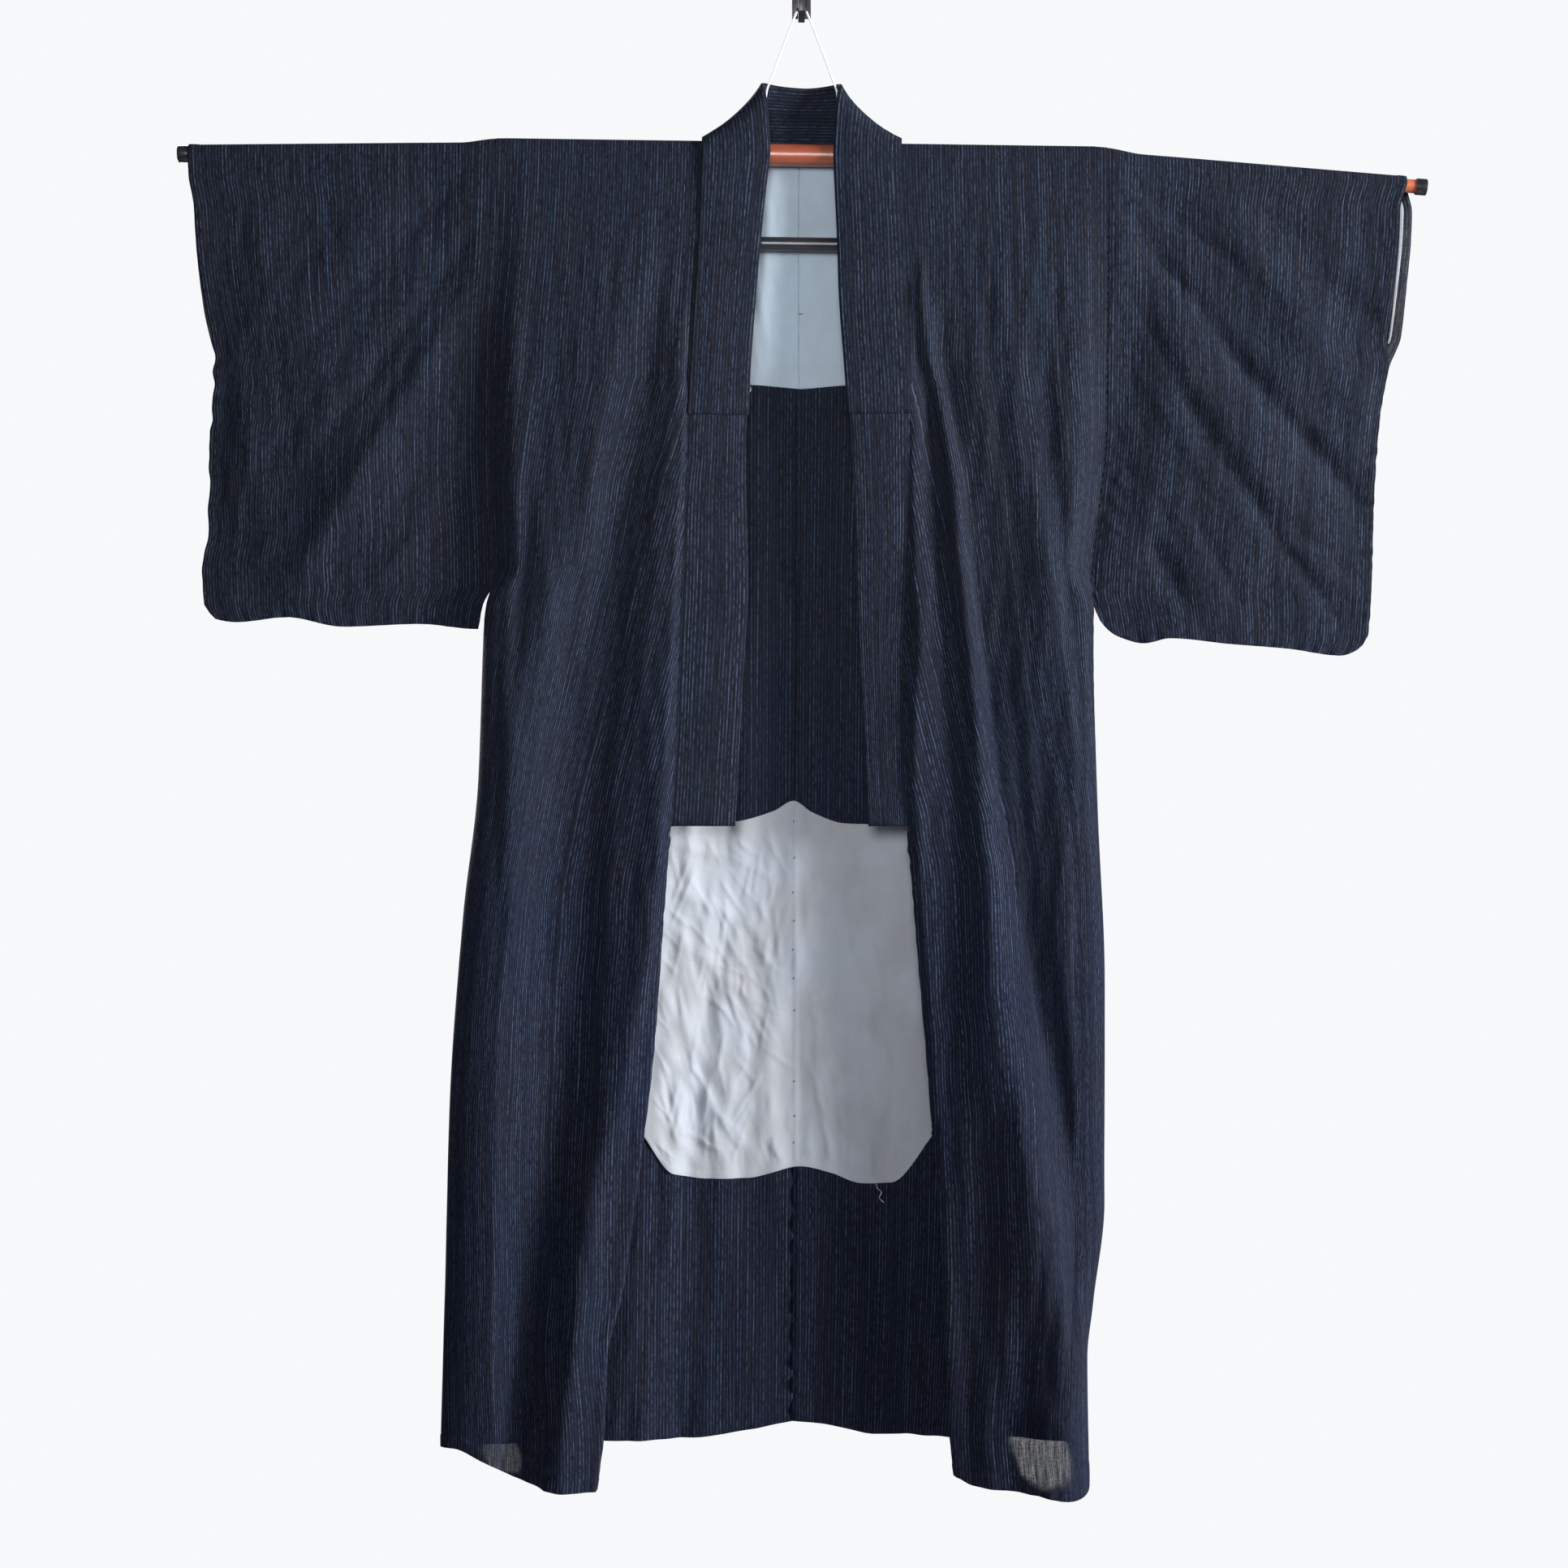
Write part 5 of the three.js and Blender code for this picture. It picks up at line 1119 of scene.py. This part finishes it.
def band_grid(from_drop):
    """The band as a fine grid, bowed and softly waved, its run from the neck's middle, and its columns."""
    rows = collar_rows(from_drop)
    fine = spline(rows.reshape(len(rows), 9), 6)
    reach = reach_along(fine[:, 3:6])
    want = np.linspace(0, reach[-1], int(reach[-1] / BAND_STEP))
    fine = picked(want, reach, fine).reshape(-1, 3, 3)
    columns = edged(BAND_COLUMNS, 0.02)
    w = columns[None, :, None]
    seam, middle, free = (fine[:, k][:, None, :] for k in range(3))
    grid = (1 - w) * (1 - 2 * w) * seam + 4 * w * (1 - w) * middle + w * (2 * w - 1) * free
    run = (want - want[-1] / 2)[:, None]
    waves = Ripples(80, 10, (40, 150), (60, 200), 0.5)
    height = 0.8 * waves(run, np.linspace(0, 1, len(columns))[None, :] * COLLAR_WIDE)
    return grid + normals_of(grid) * height[..., None], run, columns[None, :]


def add_collar():
    grid, run, columns = band_grid(COLLAR_END_DROP)
    edge = np.minimum(columns, 1 - columns) * COLLAR_WIDE
    thickness = COLLAR_THICK * (0.45 + 0.55 * ease(-0.5, 2.0, edge)) + 0 * run
    u = CLOTH_FROM["collar"] + columns * COLLAR_WIDE
    piece = make_panel("collar_band", grid, thickness, u, run, "collar_cloth", COLLAR_STRIPED)
    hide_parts("collar")


def add_over_collar():
    band, run, _ = band_grid(OVER_COLLAR_DROP)
    normals = normals_of(band)
    to_end = np.minimum(run - run[0], run[-1] - run)
    off = (COLLAR_THICK + CLOTH) / 2 + lerp(-0.3, 0.15, ease(0, 7, to_end))
    out = band[:, -1] - band[:, -2]
    out /= np.linalg.norm(out, axis=1, keepdims=True)

    def face(way):
        return band + normals * way * off[..., None]

    turn = [band[:, -1] + normals[:, -1] * math.cos(a) * off + out * math.sin(a) * off
            for a in np.linspace(0, math.pi, 9)[1:-1]]
    grid = np.concatenate([face(1), np.stack(turn, axis=1), face(-1)[:, ::-1]], axis=1)
    seam_run = reach_along(grid[len(grid) // 2])[None, :]
    grid = pucker(grid, to_end + 0 * seam_run, seam_run + 0 * to_end, 0.35, 5, 81)
    u = CLOTH_FROM["over_collar"] + seam_run
    thickness = CLOTH * turned(to_end, 0.6, 3.0, 4.5) + 0 * u
    piece = make_panel("over_collar_band", grid, thickness, u, run, "collar_cloth", COLLAR_STRIPED)
    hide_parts("over_collar")


# Linings inside the back
def on_back(x, drop, lift):
    """Where a lining lies on the back's inner face, lifted from it by its own creases."""
    slope = back_depth(x + 0.5, drop) - back_depth(x - 0.5, drop)
    off = CLOTH / 2 + SEAM_GAP + LINING / 2 + 0.25
    return place(x, back_depth(x, drop) - off * np.hypot(1, slope) - lift, drop)


def raised(waves, x, drop):
    """Creases that only stand away from what the lining lies on."""
    return np.maximum(0, waves(x, drop)) ** 1.2


def add_yoke_lining(side):
    sign = OUTLINE[side]["sign"]
    t = edged(56, 0.006)[None, :]
    v = edged(76, 0.005)[:, None]
    x = lerp(-2, -10, 100 / BACK_HEM_DROP) - sign * SEAM_LAP + sign * YOKE_HALF * t
    drop = lerp(YOKE_TOP, along(YOKE_BOTTOM, np.abs(x)), v)
    waves = Ripples(90 if sign < 0 else 91, 8, (30, 90), (200, 700), 1.1)
    small = Ripples(92 if sign < 0 else 93, 12, (12, 30), (40, 120), 0.5)
    edge = inward(t, v, 180, 230)
    lift = (raised(waves, x, drop) * ease(20, 80, drop) + raised(small, x, drop)) * ease(-2, 22, edge)
    lift = lift + 1.6 * np.exp(-(((x + 34 + 0.03 * drop) / 7) ** 2)) * ease(10, 60, drop) * (sign < 0)
    grid = on_back(x, drop, lift)
    thickness = LINING * turned((1 - v) * 236, 0.5, 8, 9.5) + 0 * x
    piece = make_panel(f"yoke_cloth_{side}", grid, thickness, x + 200, drop, "yoke_lining", YOKE_CLOTH)
    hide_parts(f"yoke_lining_{side}")


SEAT_CREASES = [
    ((-152, 760), (-70, 800), 7, 2.0), ((-150, 800), (-40, 900), 8, 2.2), ((-140, 720), (-60, 740), 6, 1.6),
    ((-160, 860), (-80, 980), 8, 2.4), ((-120, 840), (-100, 1040), 9, 2.2),
    ((-150, 930), (-60, 1040), 7, 2.2), ((-60, 900), (-90, 1060), 8, 1.8),
    ((-40, 760), (-30, 960), 10, 1.8), ((-90, 760), (-110, 850), 7, 1.8),
    ((36, 700), (58, 1070), 17, 4.4), ((92, 700), (112, 1070), 15, 2.6), ((100, 960), (60, 1060), 9, 1.4),
    ((-155, 1000), (-110, 1060), 6, 1.8), ((-30, 990), (-20, 1060), 8, 1.4),
    ((120, 800), (136, 1000), 9, 1.4),
]


def crumples(seed, count, across, down, lean, width, rise):
    """Short crisp creases strewn over a field: (start, end, half width, rise) of each."""
    pick = np.random.default_rng(seed)
    out = []
    for _ in range(count):
        x, drop, length = pick.uniform(*across), pick.uniform(*down), pick.uniform(18, 62)
        turn = math.radians(pick.normal(*lean))
        half = (math.sin(turn) * length / 2, math.cos(turn) * length / 2)
        size = pick.uniform(0.5, 1.0)
        out.append(((x - half[0], drop - half[1]), (x + half[0], drop + half[1]), size * width, size * rise))
    return out


def seat_point(across, v):
    drop = lerp(700, 1070, v) + 0 * across
    for _ in range(3):
        x = lerp(along(SEAT_LEFT, drop), along(SEAT_RIGHT, drop), across)
        drop = lerp(along(SEAT_TOP, x), along(SEAT_BOTTOM, x), v)
    edge = inward(across, v, 305, 370)
    small = Ripples(95, 14, (14, 34), (40, 140), 0.4)
    soft = Ripples(96, 8, (60, 130), (160, 500), 1.2)
    strewn = crumples(97, 120, (-160, -25), (715, 1065), (20, 22), 3.0, 1.05)
    strewn += crumples(98, 34, (10, 135), (715, 1065), (12, 30), 3.6, 0.7)
    lift = raised(small, x, drop) + raised(soft, x, drop)
    lift = lift + sum(slant_fold(fold, x, drop) for fold in strewn)
    lift = lift + 0.6 * sum(slant_fold(fold, x, drop) for fold in SEAT_CREASES)
    lift = lift * ease(-3, 26, edge) + 1.0 * np.exp(-(((x + 6) / 2.2) ** 2)) * ease(0, 10, edge)
    return on_back(x, drop, lift), drop, x, edge


def add_seat_lining():
    across = edged(150, 0.0028)[None, :]
    v = edged(180, 0.0025)[:, None]
    grid, drop, x, edge = seat_point(across, v)
    thickness = LINING * turned(edge, 0.6, 7, 8.4)
    piece = make_panel("seat_cloth", grid, thickness, x, drop, "seat_lining", SEAT_CLOTH)
    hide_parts("seat_lining")


for side in OUTLINE:
    add_body(side)
    add_okumi(side)
    add_sleeve(side)
    add_yoke_lining(side)
add_collar()
add_over_collar()
add_seat_lining()


# Hard pieces
def fresh():
    bpy.ops.object.select_all(action="DESELECT")


def only_faces(piece, chosen):
    """Selects, in edit mode, the faces whose middle and normal the function picks."""
    bpy.ops.object.mode_set(mode="OBJECT")
    piece.data.polygons.foreach_set("select", [False] * len(piece.data.polygons))
    piece.data.edges.foreach_set("select", [False] * len(piece.data.edges))
    piece.data.vertices.foreach_set("select", [False] * len(piece.data.vertices))
    for polygon in piece.data.polygons:
        polygon.select = bool(chosen(polygon.center, polygon.normal))
    bpy.context.tool_settings.mesh_select_mode = (False, False, True)
    bpy.ops.object.mode_set(mode="EDIT")


def recess(piece, chosen, rim, deep, each=False):
    """Sets the faces that the function picks in by a rim, and sinks them."""
    only_faces(piece, chosen)
    bpy.ops.mesh.inset(thickness=rim * MM, use_individual=each)
    bpy.ops.mesh.extrude_region_shrink_fatten(TRANSFORM_OT_shrink_fatten={"value": -deep * MM})
    bpy.ops.object.mode_set(mode="OBJECT")


def edge_bevel(piece, width, segments=3):
    bevel = piece.modifiers.new("edges", "BEVEL")
    bevel.width = width * MM
    bevel.segments = segments
    bevel.limit_method = "ANGLE"
    bevel.angle_limit = math.radians(40)
    bpy.ops.object.modifier_apply(modifier=bevel.name)


def settle(piece, name, finish, node):
    """Puts a finished hard piece's place into its mesh and gives it its finish."""
    bpy.ops.object.mode_set(mode="OBJECT")
    bpy.ops.object.transform_apply(location=True, rotation=True, scale=True)
    bpy.ops.object.shade_smooth_by_angle(angle=math.radians(35))
    piece.name = name
    piece.data.materials.clear()
    piece.data.materials.append(finish)
    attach(piece, "root")
    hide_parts(node)


def cylinder(radius, length, centre, turn, sides):
    fresh()
    bpy.ops.mesh.primitive_cylinder_add(
        vertices=sides, radius=radius * MM, depth=length * MM, location=Vector(centre) * MM, rotation=turn,
    )
    return bpy.context.object


def rod(radius, length, centre, slope, sides):
    """A round bar along X whose +X end falls by slope. Its own ends still face along Z."""
    return cylinder(radius, length, centre, (0, math.pi / 2 + slope, 0), sides)


def block(size, centre, turn=0.0):
    """A block with its place in its mesh, turned about Y."""
    fresh()
    bpy.ops.mesh.primitive_cube_add(size=MM, location=Vector(centre) * MM, rotation=(0, turn, 0))
    piece = bpy.context.object
    piece.scale = size
    bpy.ops.object.transform_apply(location=True, rotation=True, scale=True)
    return piece


def add_tube():
    piece = rod(TUBE_R, 2 * TUBE_HALF, (0, ROD_Y, ROD_Z), TILT, 64)
    recess(piece, lambda centre, normal: abs(normal.z) > 0.9, TUBE_R - SOCKET_R, SOCKET_DEEP, each=True)
    edge_bevel(piece, 0.4)
    settle(piece, "tube_gloss", TUBE_FINISH, "centre_tube")


def add_arm(side):
    end_x, end_drop = ARM_END[side]
    sign = math.copysign(1, end_x)
    mouth_x = sign * TUBE_HALF * math.cos(TILT)
    mouth_drop = TUBE_HALF * math.sin(TILT) * sign + SOCKET_R - ARM_R - SEAM_GAP
    way = Vector((end_x - mouth_x, end_drop - mouth_drop)).normalized()
    start = (CAP_FROM[side] - abs(mouth_x)) / abs(way.x)
    length = ARM_INSIDE + start + CAP_SEAT
    at = (start + CAP_SEAT - ARM_INSIDE) / 2
    slope = math.atan2(way.y, abs(way.x)) * sign
    piece = rod(ARM_R, length, (mouth_x + way.x * at, ROD_Y, ROD_Z - mouth_drop - way.y * at), slope, 40)
    edge_bevel(piece, 0.5)
    settle(piece, f"arm_gloss_{side}", ARM_FINISH, f"arm_{side}")

    at = start + CAP_LONG / 2
    centre = (mouth_x + way.x * at, ROD_Y, ROD_Z - mouth_drop - way.y * at)
    piece = rod(CAP_R, CAP_LONG, centre, slope, 48)
    wall, seat = CAP_R - ARM_R - SEAM_GAP, CAP_SEAT + SEAM_GAP
    recess(piece, lambda middle, normal: normal.z * sign < -0.9, wall, seat)
    recess(piece, lambda middle, normal: normal.z * sign > 0.9, 2.4, 0.6)
    edge_bevel(piece, 0.6)
    settle(piece, f"end_cap_{side}", BLACK, f"cap_{side}")


def hanger_point(x, drop):
    """A place on the tilted hanger."""
    along_x, down = math.cos(TILT), math.sin(TILT)
    return (x * along_x - drop * down, ROD_Y, ROD_Z - x * down - drop * along_x)


def add_lower_bar():
    piece = rod(BAR_R, 2 * BAR_HALF, hanger_point(0, BAR_DROP), TILT, 48)
    edge_bevel(piece, 1.1)
    settle(piece, "bar_gloss", BLACK, "lower_bar")
    top, bottom = TUBE_R + SEAM_GAP, BAR_DROP - BAR_R - SEAM_GAP
    for side, sign in (("left", -1), ("right", 1)):
        centre = hanger_point(sign * LINK_X, (top + bottom) / 2)
        piece = block((LINK_WIDE, LINK_DEEP, bottom - top), centre, TILT)
        recess(piece, lambda middle, normal: abs(normal.y) > 0.9, 1.8, 0.7, each=True)
        edge_bevel(piece, 0.45)
        settle(piece, f"link_{side}", BLACK, f"bar_link_{side}")


def add_eye(side, sign):
    x = sign * EYE_X
    foot = ROD_Z - rod_drop(x) + TUBE_R + SEAM_GAP
    piece = cylinder(EYE_R, EYE_HIGH, (x, ROD_Y, foot + EYE_HIGH / 2), (0, 0, 0), 32)
    recess(piece, lambda centre, normal: normal.z > 0.9, 1.4, 1.2)
    edge_bevel(piece, 0.5)
    settle(piece, f"cord_seat_{side}", BLACK, f"cord_eye_{side}")


def take(piece):
    """Makes a piece the one that operators act on."""
    fresh()
    piece.select_set(True)
    bpy.context.view_layer.objects.active = piece


def merge(piece, other, operation):
    """Joins another solid into a piece, or cuts it away, and removes the other."""
    take(piece)
    change = piece.modifiers.new("join", "BOOLEAN")
    change.operation = operation
    change.solver = "EXACT"
    change.object = other
    bpy.ops.object.modifier_apply(modifier=change.name)
    bpy.data.objects.remove(other)


def add_hook():
    """Wall hook: a plate on the wall, a straight arm, a grooved half-round saddle and an upturned tip."""
    cut_line, bar_wide, bar_top, plate, tip_high = -24.6, 7.0, -18.8, 3.0, 22
    groove_back, groove_front = ROD_Y + GROOVE / 2, ROD_Y - GROOVE / 2
    front_face = groove_front - FLANGE - 1.4
    arm_long = -plate - (groove_back + 0.4)
    arm_at = (0, -plate - arm_long / 2 + 0.2, (cut_line + bar_top) / 2)
    piece = block((bar_wide, arm_long, bar_top - cut_line), arm_at)
    front_flange = (FLANGE_R, groove_front - FLANGE, groove_front)
    back_flange = (FLANGE_R, groove_back, groove_back + FLANGE)
    for radius, low, high in (front_flange, (SADDLE_R, groove_front, groove_back), back_flange):
        disc = cylinder(radius, high - low, (0, (low + high) / 2, SADDLE_Z), (math.pi / 2, 0, 0), 56)
        merge(disc, block((30, 30, 20), (0, ROD_Y, cut_line - 10)), "DIFFERENCE")
        merge(piece, disc, "UNION")
    tip = groove_front - 0.4 - front_face
    tip_at = (0, front_face + tip / 2, cut_line + tip_high / 2)
    merge(piece, block((bar_wide, tip, tip_high), tip_at), "UNION")
    merge(piece, block((20, plate, 40), (0, -plate / 2, 0)), "UNION")
    take(piece)
    edge_bevel(piece, 0.35, 2)
    settle(piece, "hook_enamel", HOOK_BLACK, "wall_hook")


add_tube()
add_arm("left")
add_arm("right")
add_lower_bar()
add_eye("left", -1)
add_eye("right", 1)
add_hook()


# Sewing
def stitch(point, normal, way, length, radius):
    """One stitch: a short thread that rises out of the cloth and dives back in."""
    way = way / np.linalg.norm(way)
    t = np.linspace(-1, 1, 5)[:, None]
    return tube(point + way * t * length / 2 + normal * ((1 - t**2) * 1.5 - 0.7) * radius, radius, 6)


def stitch_line(points, normals, spacing, length, radius, seed):
    """Running stitches along a line, a little uneven as by hand."""
    reach = reach_along(points)
    pick = np.random.default_rng(seed)
    at = np.arange(spacing / 2, reach[-1] - length, spacing)
    at = at + pick.uniform(-0.15, 0.15, len(at)) * spacing
    where, ahead, up = picked(at, reach, points), picked(at + 0.5, reach, points), picked(at, reach, normals)
    return [stitch(p, n, q - p, length * pick.uniform(0.8, 1.2), radius) for p, q, n in zip(where, ahead, up)]


def sewn(name, where, face, half, **how):
    """Stitches along a row or a column of a panel, on the face along its normals (1) or the other (-1)."""
    grid, normals = PANELS[name]
    up = normals[where] * face
    return stitch_line(grid[where] + up * half, up, **how)


def shown_face(name):
    """The face of a lining that can be seen, towards the front."""
    return -1 if PANELS[name][1][5, 5][1] > 0 else 1


def loose_thread(points, radius):
    """A thread end hanging free, from given points (x, y from the rod, drop)."""
    return tube(spline([place(*p) for p in points], 5), radius, 6)


def on_lining(x, drop, name):
    """The nearest point of a lining, and its normal."""
    grid, normals = PANELS[name]
    away = np.hypot(grid[..., 0] - x, grid[..., 2] - ROD_Z + drop)
    i, j = np.unravel_index(np.argmin(away), away.shape)
    way = -np.sign(normals[i, j][1])
    return grid[i, j] + normals[i, j] * way * LINING / 2, normals[i, j] * way


# Dark sewing on the linings: drops of the stitches down the seat lining's middle, and the dashes by its edge
SEAT_DOTS = (697, 736, 772, 803, 833, 864, 898, 972, 1010, 1038)
SEAT_DASHES = ((143, 975, 1015), (141, 1018, 1026))
# The hem's pale selvedge inside the right sleeve's opening: its drops, its place from the edge, and its width
SELVEDGE_DROPS, SELVEDGE_IN, SELVEDGE_WIDE = (40, 200), 11.2, 4.4
# Two thread ends that hang from the linings: radius, and (x, y from the rod, drop) of points along each
LOOSE_THREADS = (
    (0.35, [(-57, 10, 234), (-55.5, 6, 239), (-53.5, 5, 244), (-55, 4.5, 248), (-58, 5, 249)]),
    (0.3, [(78, 17, 1078), (80, 14, 1084), (84, 13.5, 1088), (82, 13, 1094), (87, 13, 1099)]),
)
# The row of a panel where its turned hem or edge is sewn, counted from that edge
SEWN = 3


def sew_all():
    dark, pale = [], []
    near, far = SEWN, -1 - SEWN
    hem = {"half": CLOTH / 2, "spacing": 9.0, "length": 2.2, "radius": 0.16}
    for side in OUTLINE:
        seed = SEAM_SEEDS[side] + 5
        for face in (1, -1):
            dark += sewn(f"body_cloth_{side}", near, face, seed=seed, **hem)
            dark += sewn(f"body_cloth_{side}", far, face, seed=seed + 1, **hem)
            dark += sewn(f"okumi_cloth_{side}", far, face, seed=seed, **hem)
            dark += sewn(f"sleeve_cloth_{side}", np.s_[2:-2, far], face, seed=seed + 2, **hem)
    make_piece("hem_stitches", *joined(dark), "striped_cloth", DARK_THREAD)
    edge = {"half": LINING / 2, "spacing": 5.0, "length": 2.0, "radius": 0.2}
    for end in (near, far):
        pale += sewn("seat_cloth", end, shown_face("seat_cloth"), seed=101, **edge)
    for end in (near, far):
        pale += sewn("seat_cloth", np.s_[2:-2, end], shown_face("seat_cloth"), seed=102, **edge)
    for side in OUTLINE:
        name = f"yoke_cloth_{side}"
        pale += sewn(name, far, shown_face(name), seed=103, **edge)
    for radius, line in LOOSE_THREADS:
        pale.append(loose_thread(line, radius))
    make_piece("lining_stitches", *joined(pale), "seat_lining", PALE_THREAD)
    spots = [on_lining(-8, drop, "seat_cloth") for drop in SEAT_DOTS]
    parts = [stitch(p, n, np.array([0.4, 0, 1.0]), 2.2, 0.45) for p, n in spots]
    for x, top, bottom in SEAT_DASHES:
        for drop in np.arange(top, bottom, 7.0):
            p, n = on_lining(x - 4, drop, "seat_cloth")
            parts.append(stitch(p, n, np.array([0.1, 0, 1.0]), 4.2, 0.5))
    for drop in np.arange(20, 232, 3.2):
        p, n = on_lining(-3, drop, "yoke_cloth_left")
        parts.append(stitch(p, n, np.array([0, 0, 1.0]), 1.7, 0.16))
    p, n = on_lining(-1, 163, "yoke_cloth_right")
    parts.append(stitch(p, n, np.array([1.0, 0, 0.1]), 7.0, 0.4))
    make_piece("dark_stitches", *joined(parts), "seat_lining", DARK_THREAD)


sew_all()


def add_selvedge():
    """The selvedge lies on the back layer, and narrows downwards."""
    grid, normals = PANELS["sleeve_cloth_right"]
    drops = ROD_Z - grid[:, -1, 2]
    top, bottom = SELVEDGE_DROPS
    strip = []
    for i in range(len(grid) // 2, len(grid)):
        if not top < drops[i] < bottom:
            continue
        line, up = grid[i, ::-1], normals[i, ::-1] * -np.sign(normals[i, -1, 1])
        down = (drops[i] - top) / (bottom - top)
        wide = SELVEDGE_WIDE * (1 - 0.55 * down) * ease(0, 0.08, down)
        at, reach = SELVEDGE_IN + np.linspace(-0.5, 0.5, 5) * wide, reach_along(line)
        strip.append(picked(at, reach, line) + picked(at, reach, up) * (CLOTH + 0.3))
    run = np.arange(len(strip))[:, None] * 3.0 + np.zeros(5)
    shell = cloth_shell(np.array(strip), 0.5, np.arange(5.0), run)
    make_piece("cuff_selvedge", *shell, "striped_cloth", SELVEDGE_CLOTH)


add_selvedge()


# Set around the garment
def add_floor():
    fresh()
    bpy.ops.mesh.primitive_circle_add(vertices=96, radius=1.12, fill_type="NGON", location=(0, -0.04, -2.05))
    floor = bpy.context.object
    floor.name = "floor"
    f = Finish("floor_paint")
    x, y, _ = f.object_place()
    f.set(Base_Color=f.tinted((0.42, 0.42, 0.43), 0.97 + f.noise(x / 300, y / 300) * 0.05), Roughness=0.9)
    floor.data.materials.append(f.material)


def add_light(name, location, target, size, power, colour, spread=180):
    data = bpy.data.lights.new(name, "AREA")
    data.shape = "DISK"
    data.size = size
    data.energy = power
    data.color = colour
    data.spread = math.radians(spread)
    light = bpy.data.objects.new(name, data)
    light.location = location
    light.rotation_euler = (Vector(target) - Vector(location)).to_track_quat("-Z", "Y").to_euler()
    bpy.context.scene.collection.objects.link(light)


def add_world():
    world = bpy.data.worlds.new("room")
    world.use_nodes = True
    tree = world.node_tree
    seen = tree.nodes.new("ShaderNodeLightPath").outputs["Is Camera Ray"]
    backdrop = tree.nodes["Background"]
    backdrop.inputs["Color"].default_value = (0.93, 0.94, 0.96, 1)
    tree.links.new(seen, backdrop.inputs["Strength"])
    fill = tree.nodes.new("ShaderNodeBackground")
    fill.inputs["Color"].default_value = (0.86, 0.92, 1.0, 1)
    fill.inputs["Strength"].default_value = 0.13
    mix = tree.nodes.new("ShaderNodeMixShader")
    tree.links.new(seen, mix.inputs[0])
    tree.links.new(fill.outputs[0], mix.inputs[1])
    tree.links.new(backdrop.outputs[0], mix.inputs[2])
    tree.links.new(mix.outputs[0], tree.nodes["World Output"].inputs["Surface"])
    bpy.context.scene.world = world


add_floor()
add_light("key", (4.1, -1.65, 0.0), (0.1, -0.05, -0.7), 2.0, 500, (1.0, 0.99, 0.98))
add_light("front", (-0.2, -2.6, -0.25), (0.03, 0, -0.5), 0.9, 5.5, (0.97, 0.98, 1.0), 62)
add_light("back", (-1.9, 2.6, 0.6), (0, 0, -0.8), 1.8, 210, (1.0, 0.99, 0.97))
add_world()
bpy.context.scene.view_settings.view_transform = "Standard"
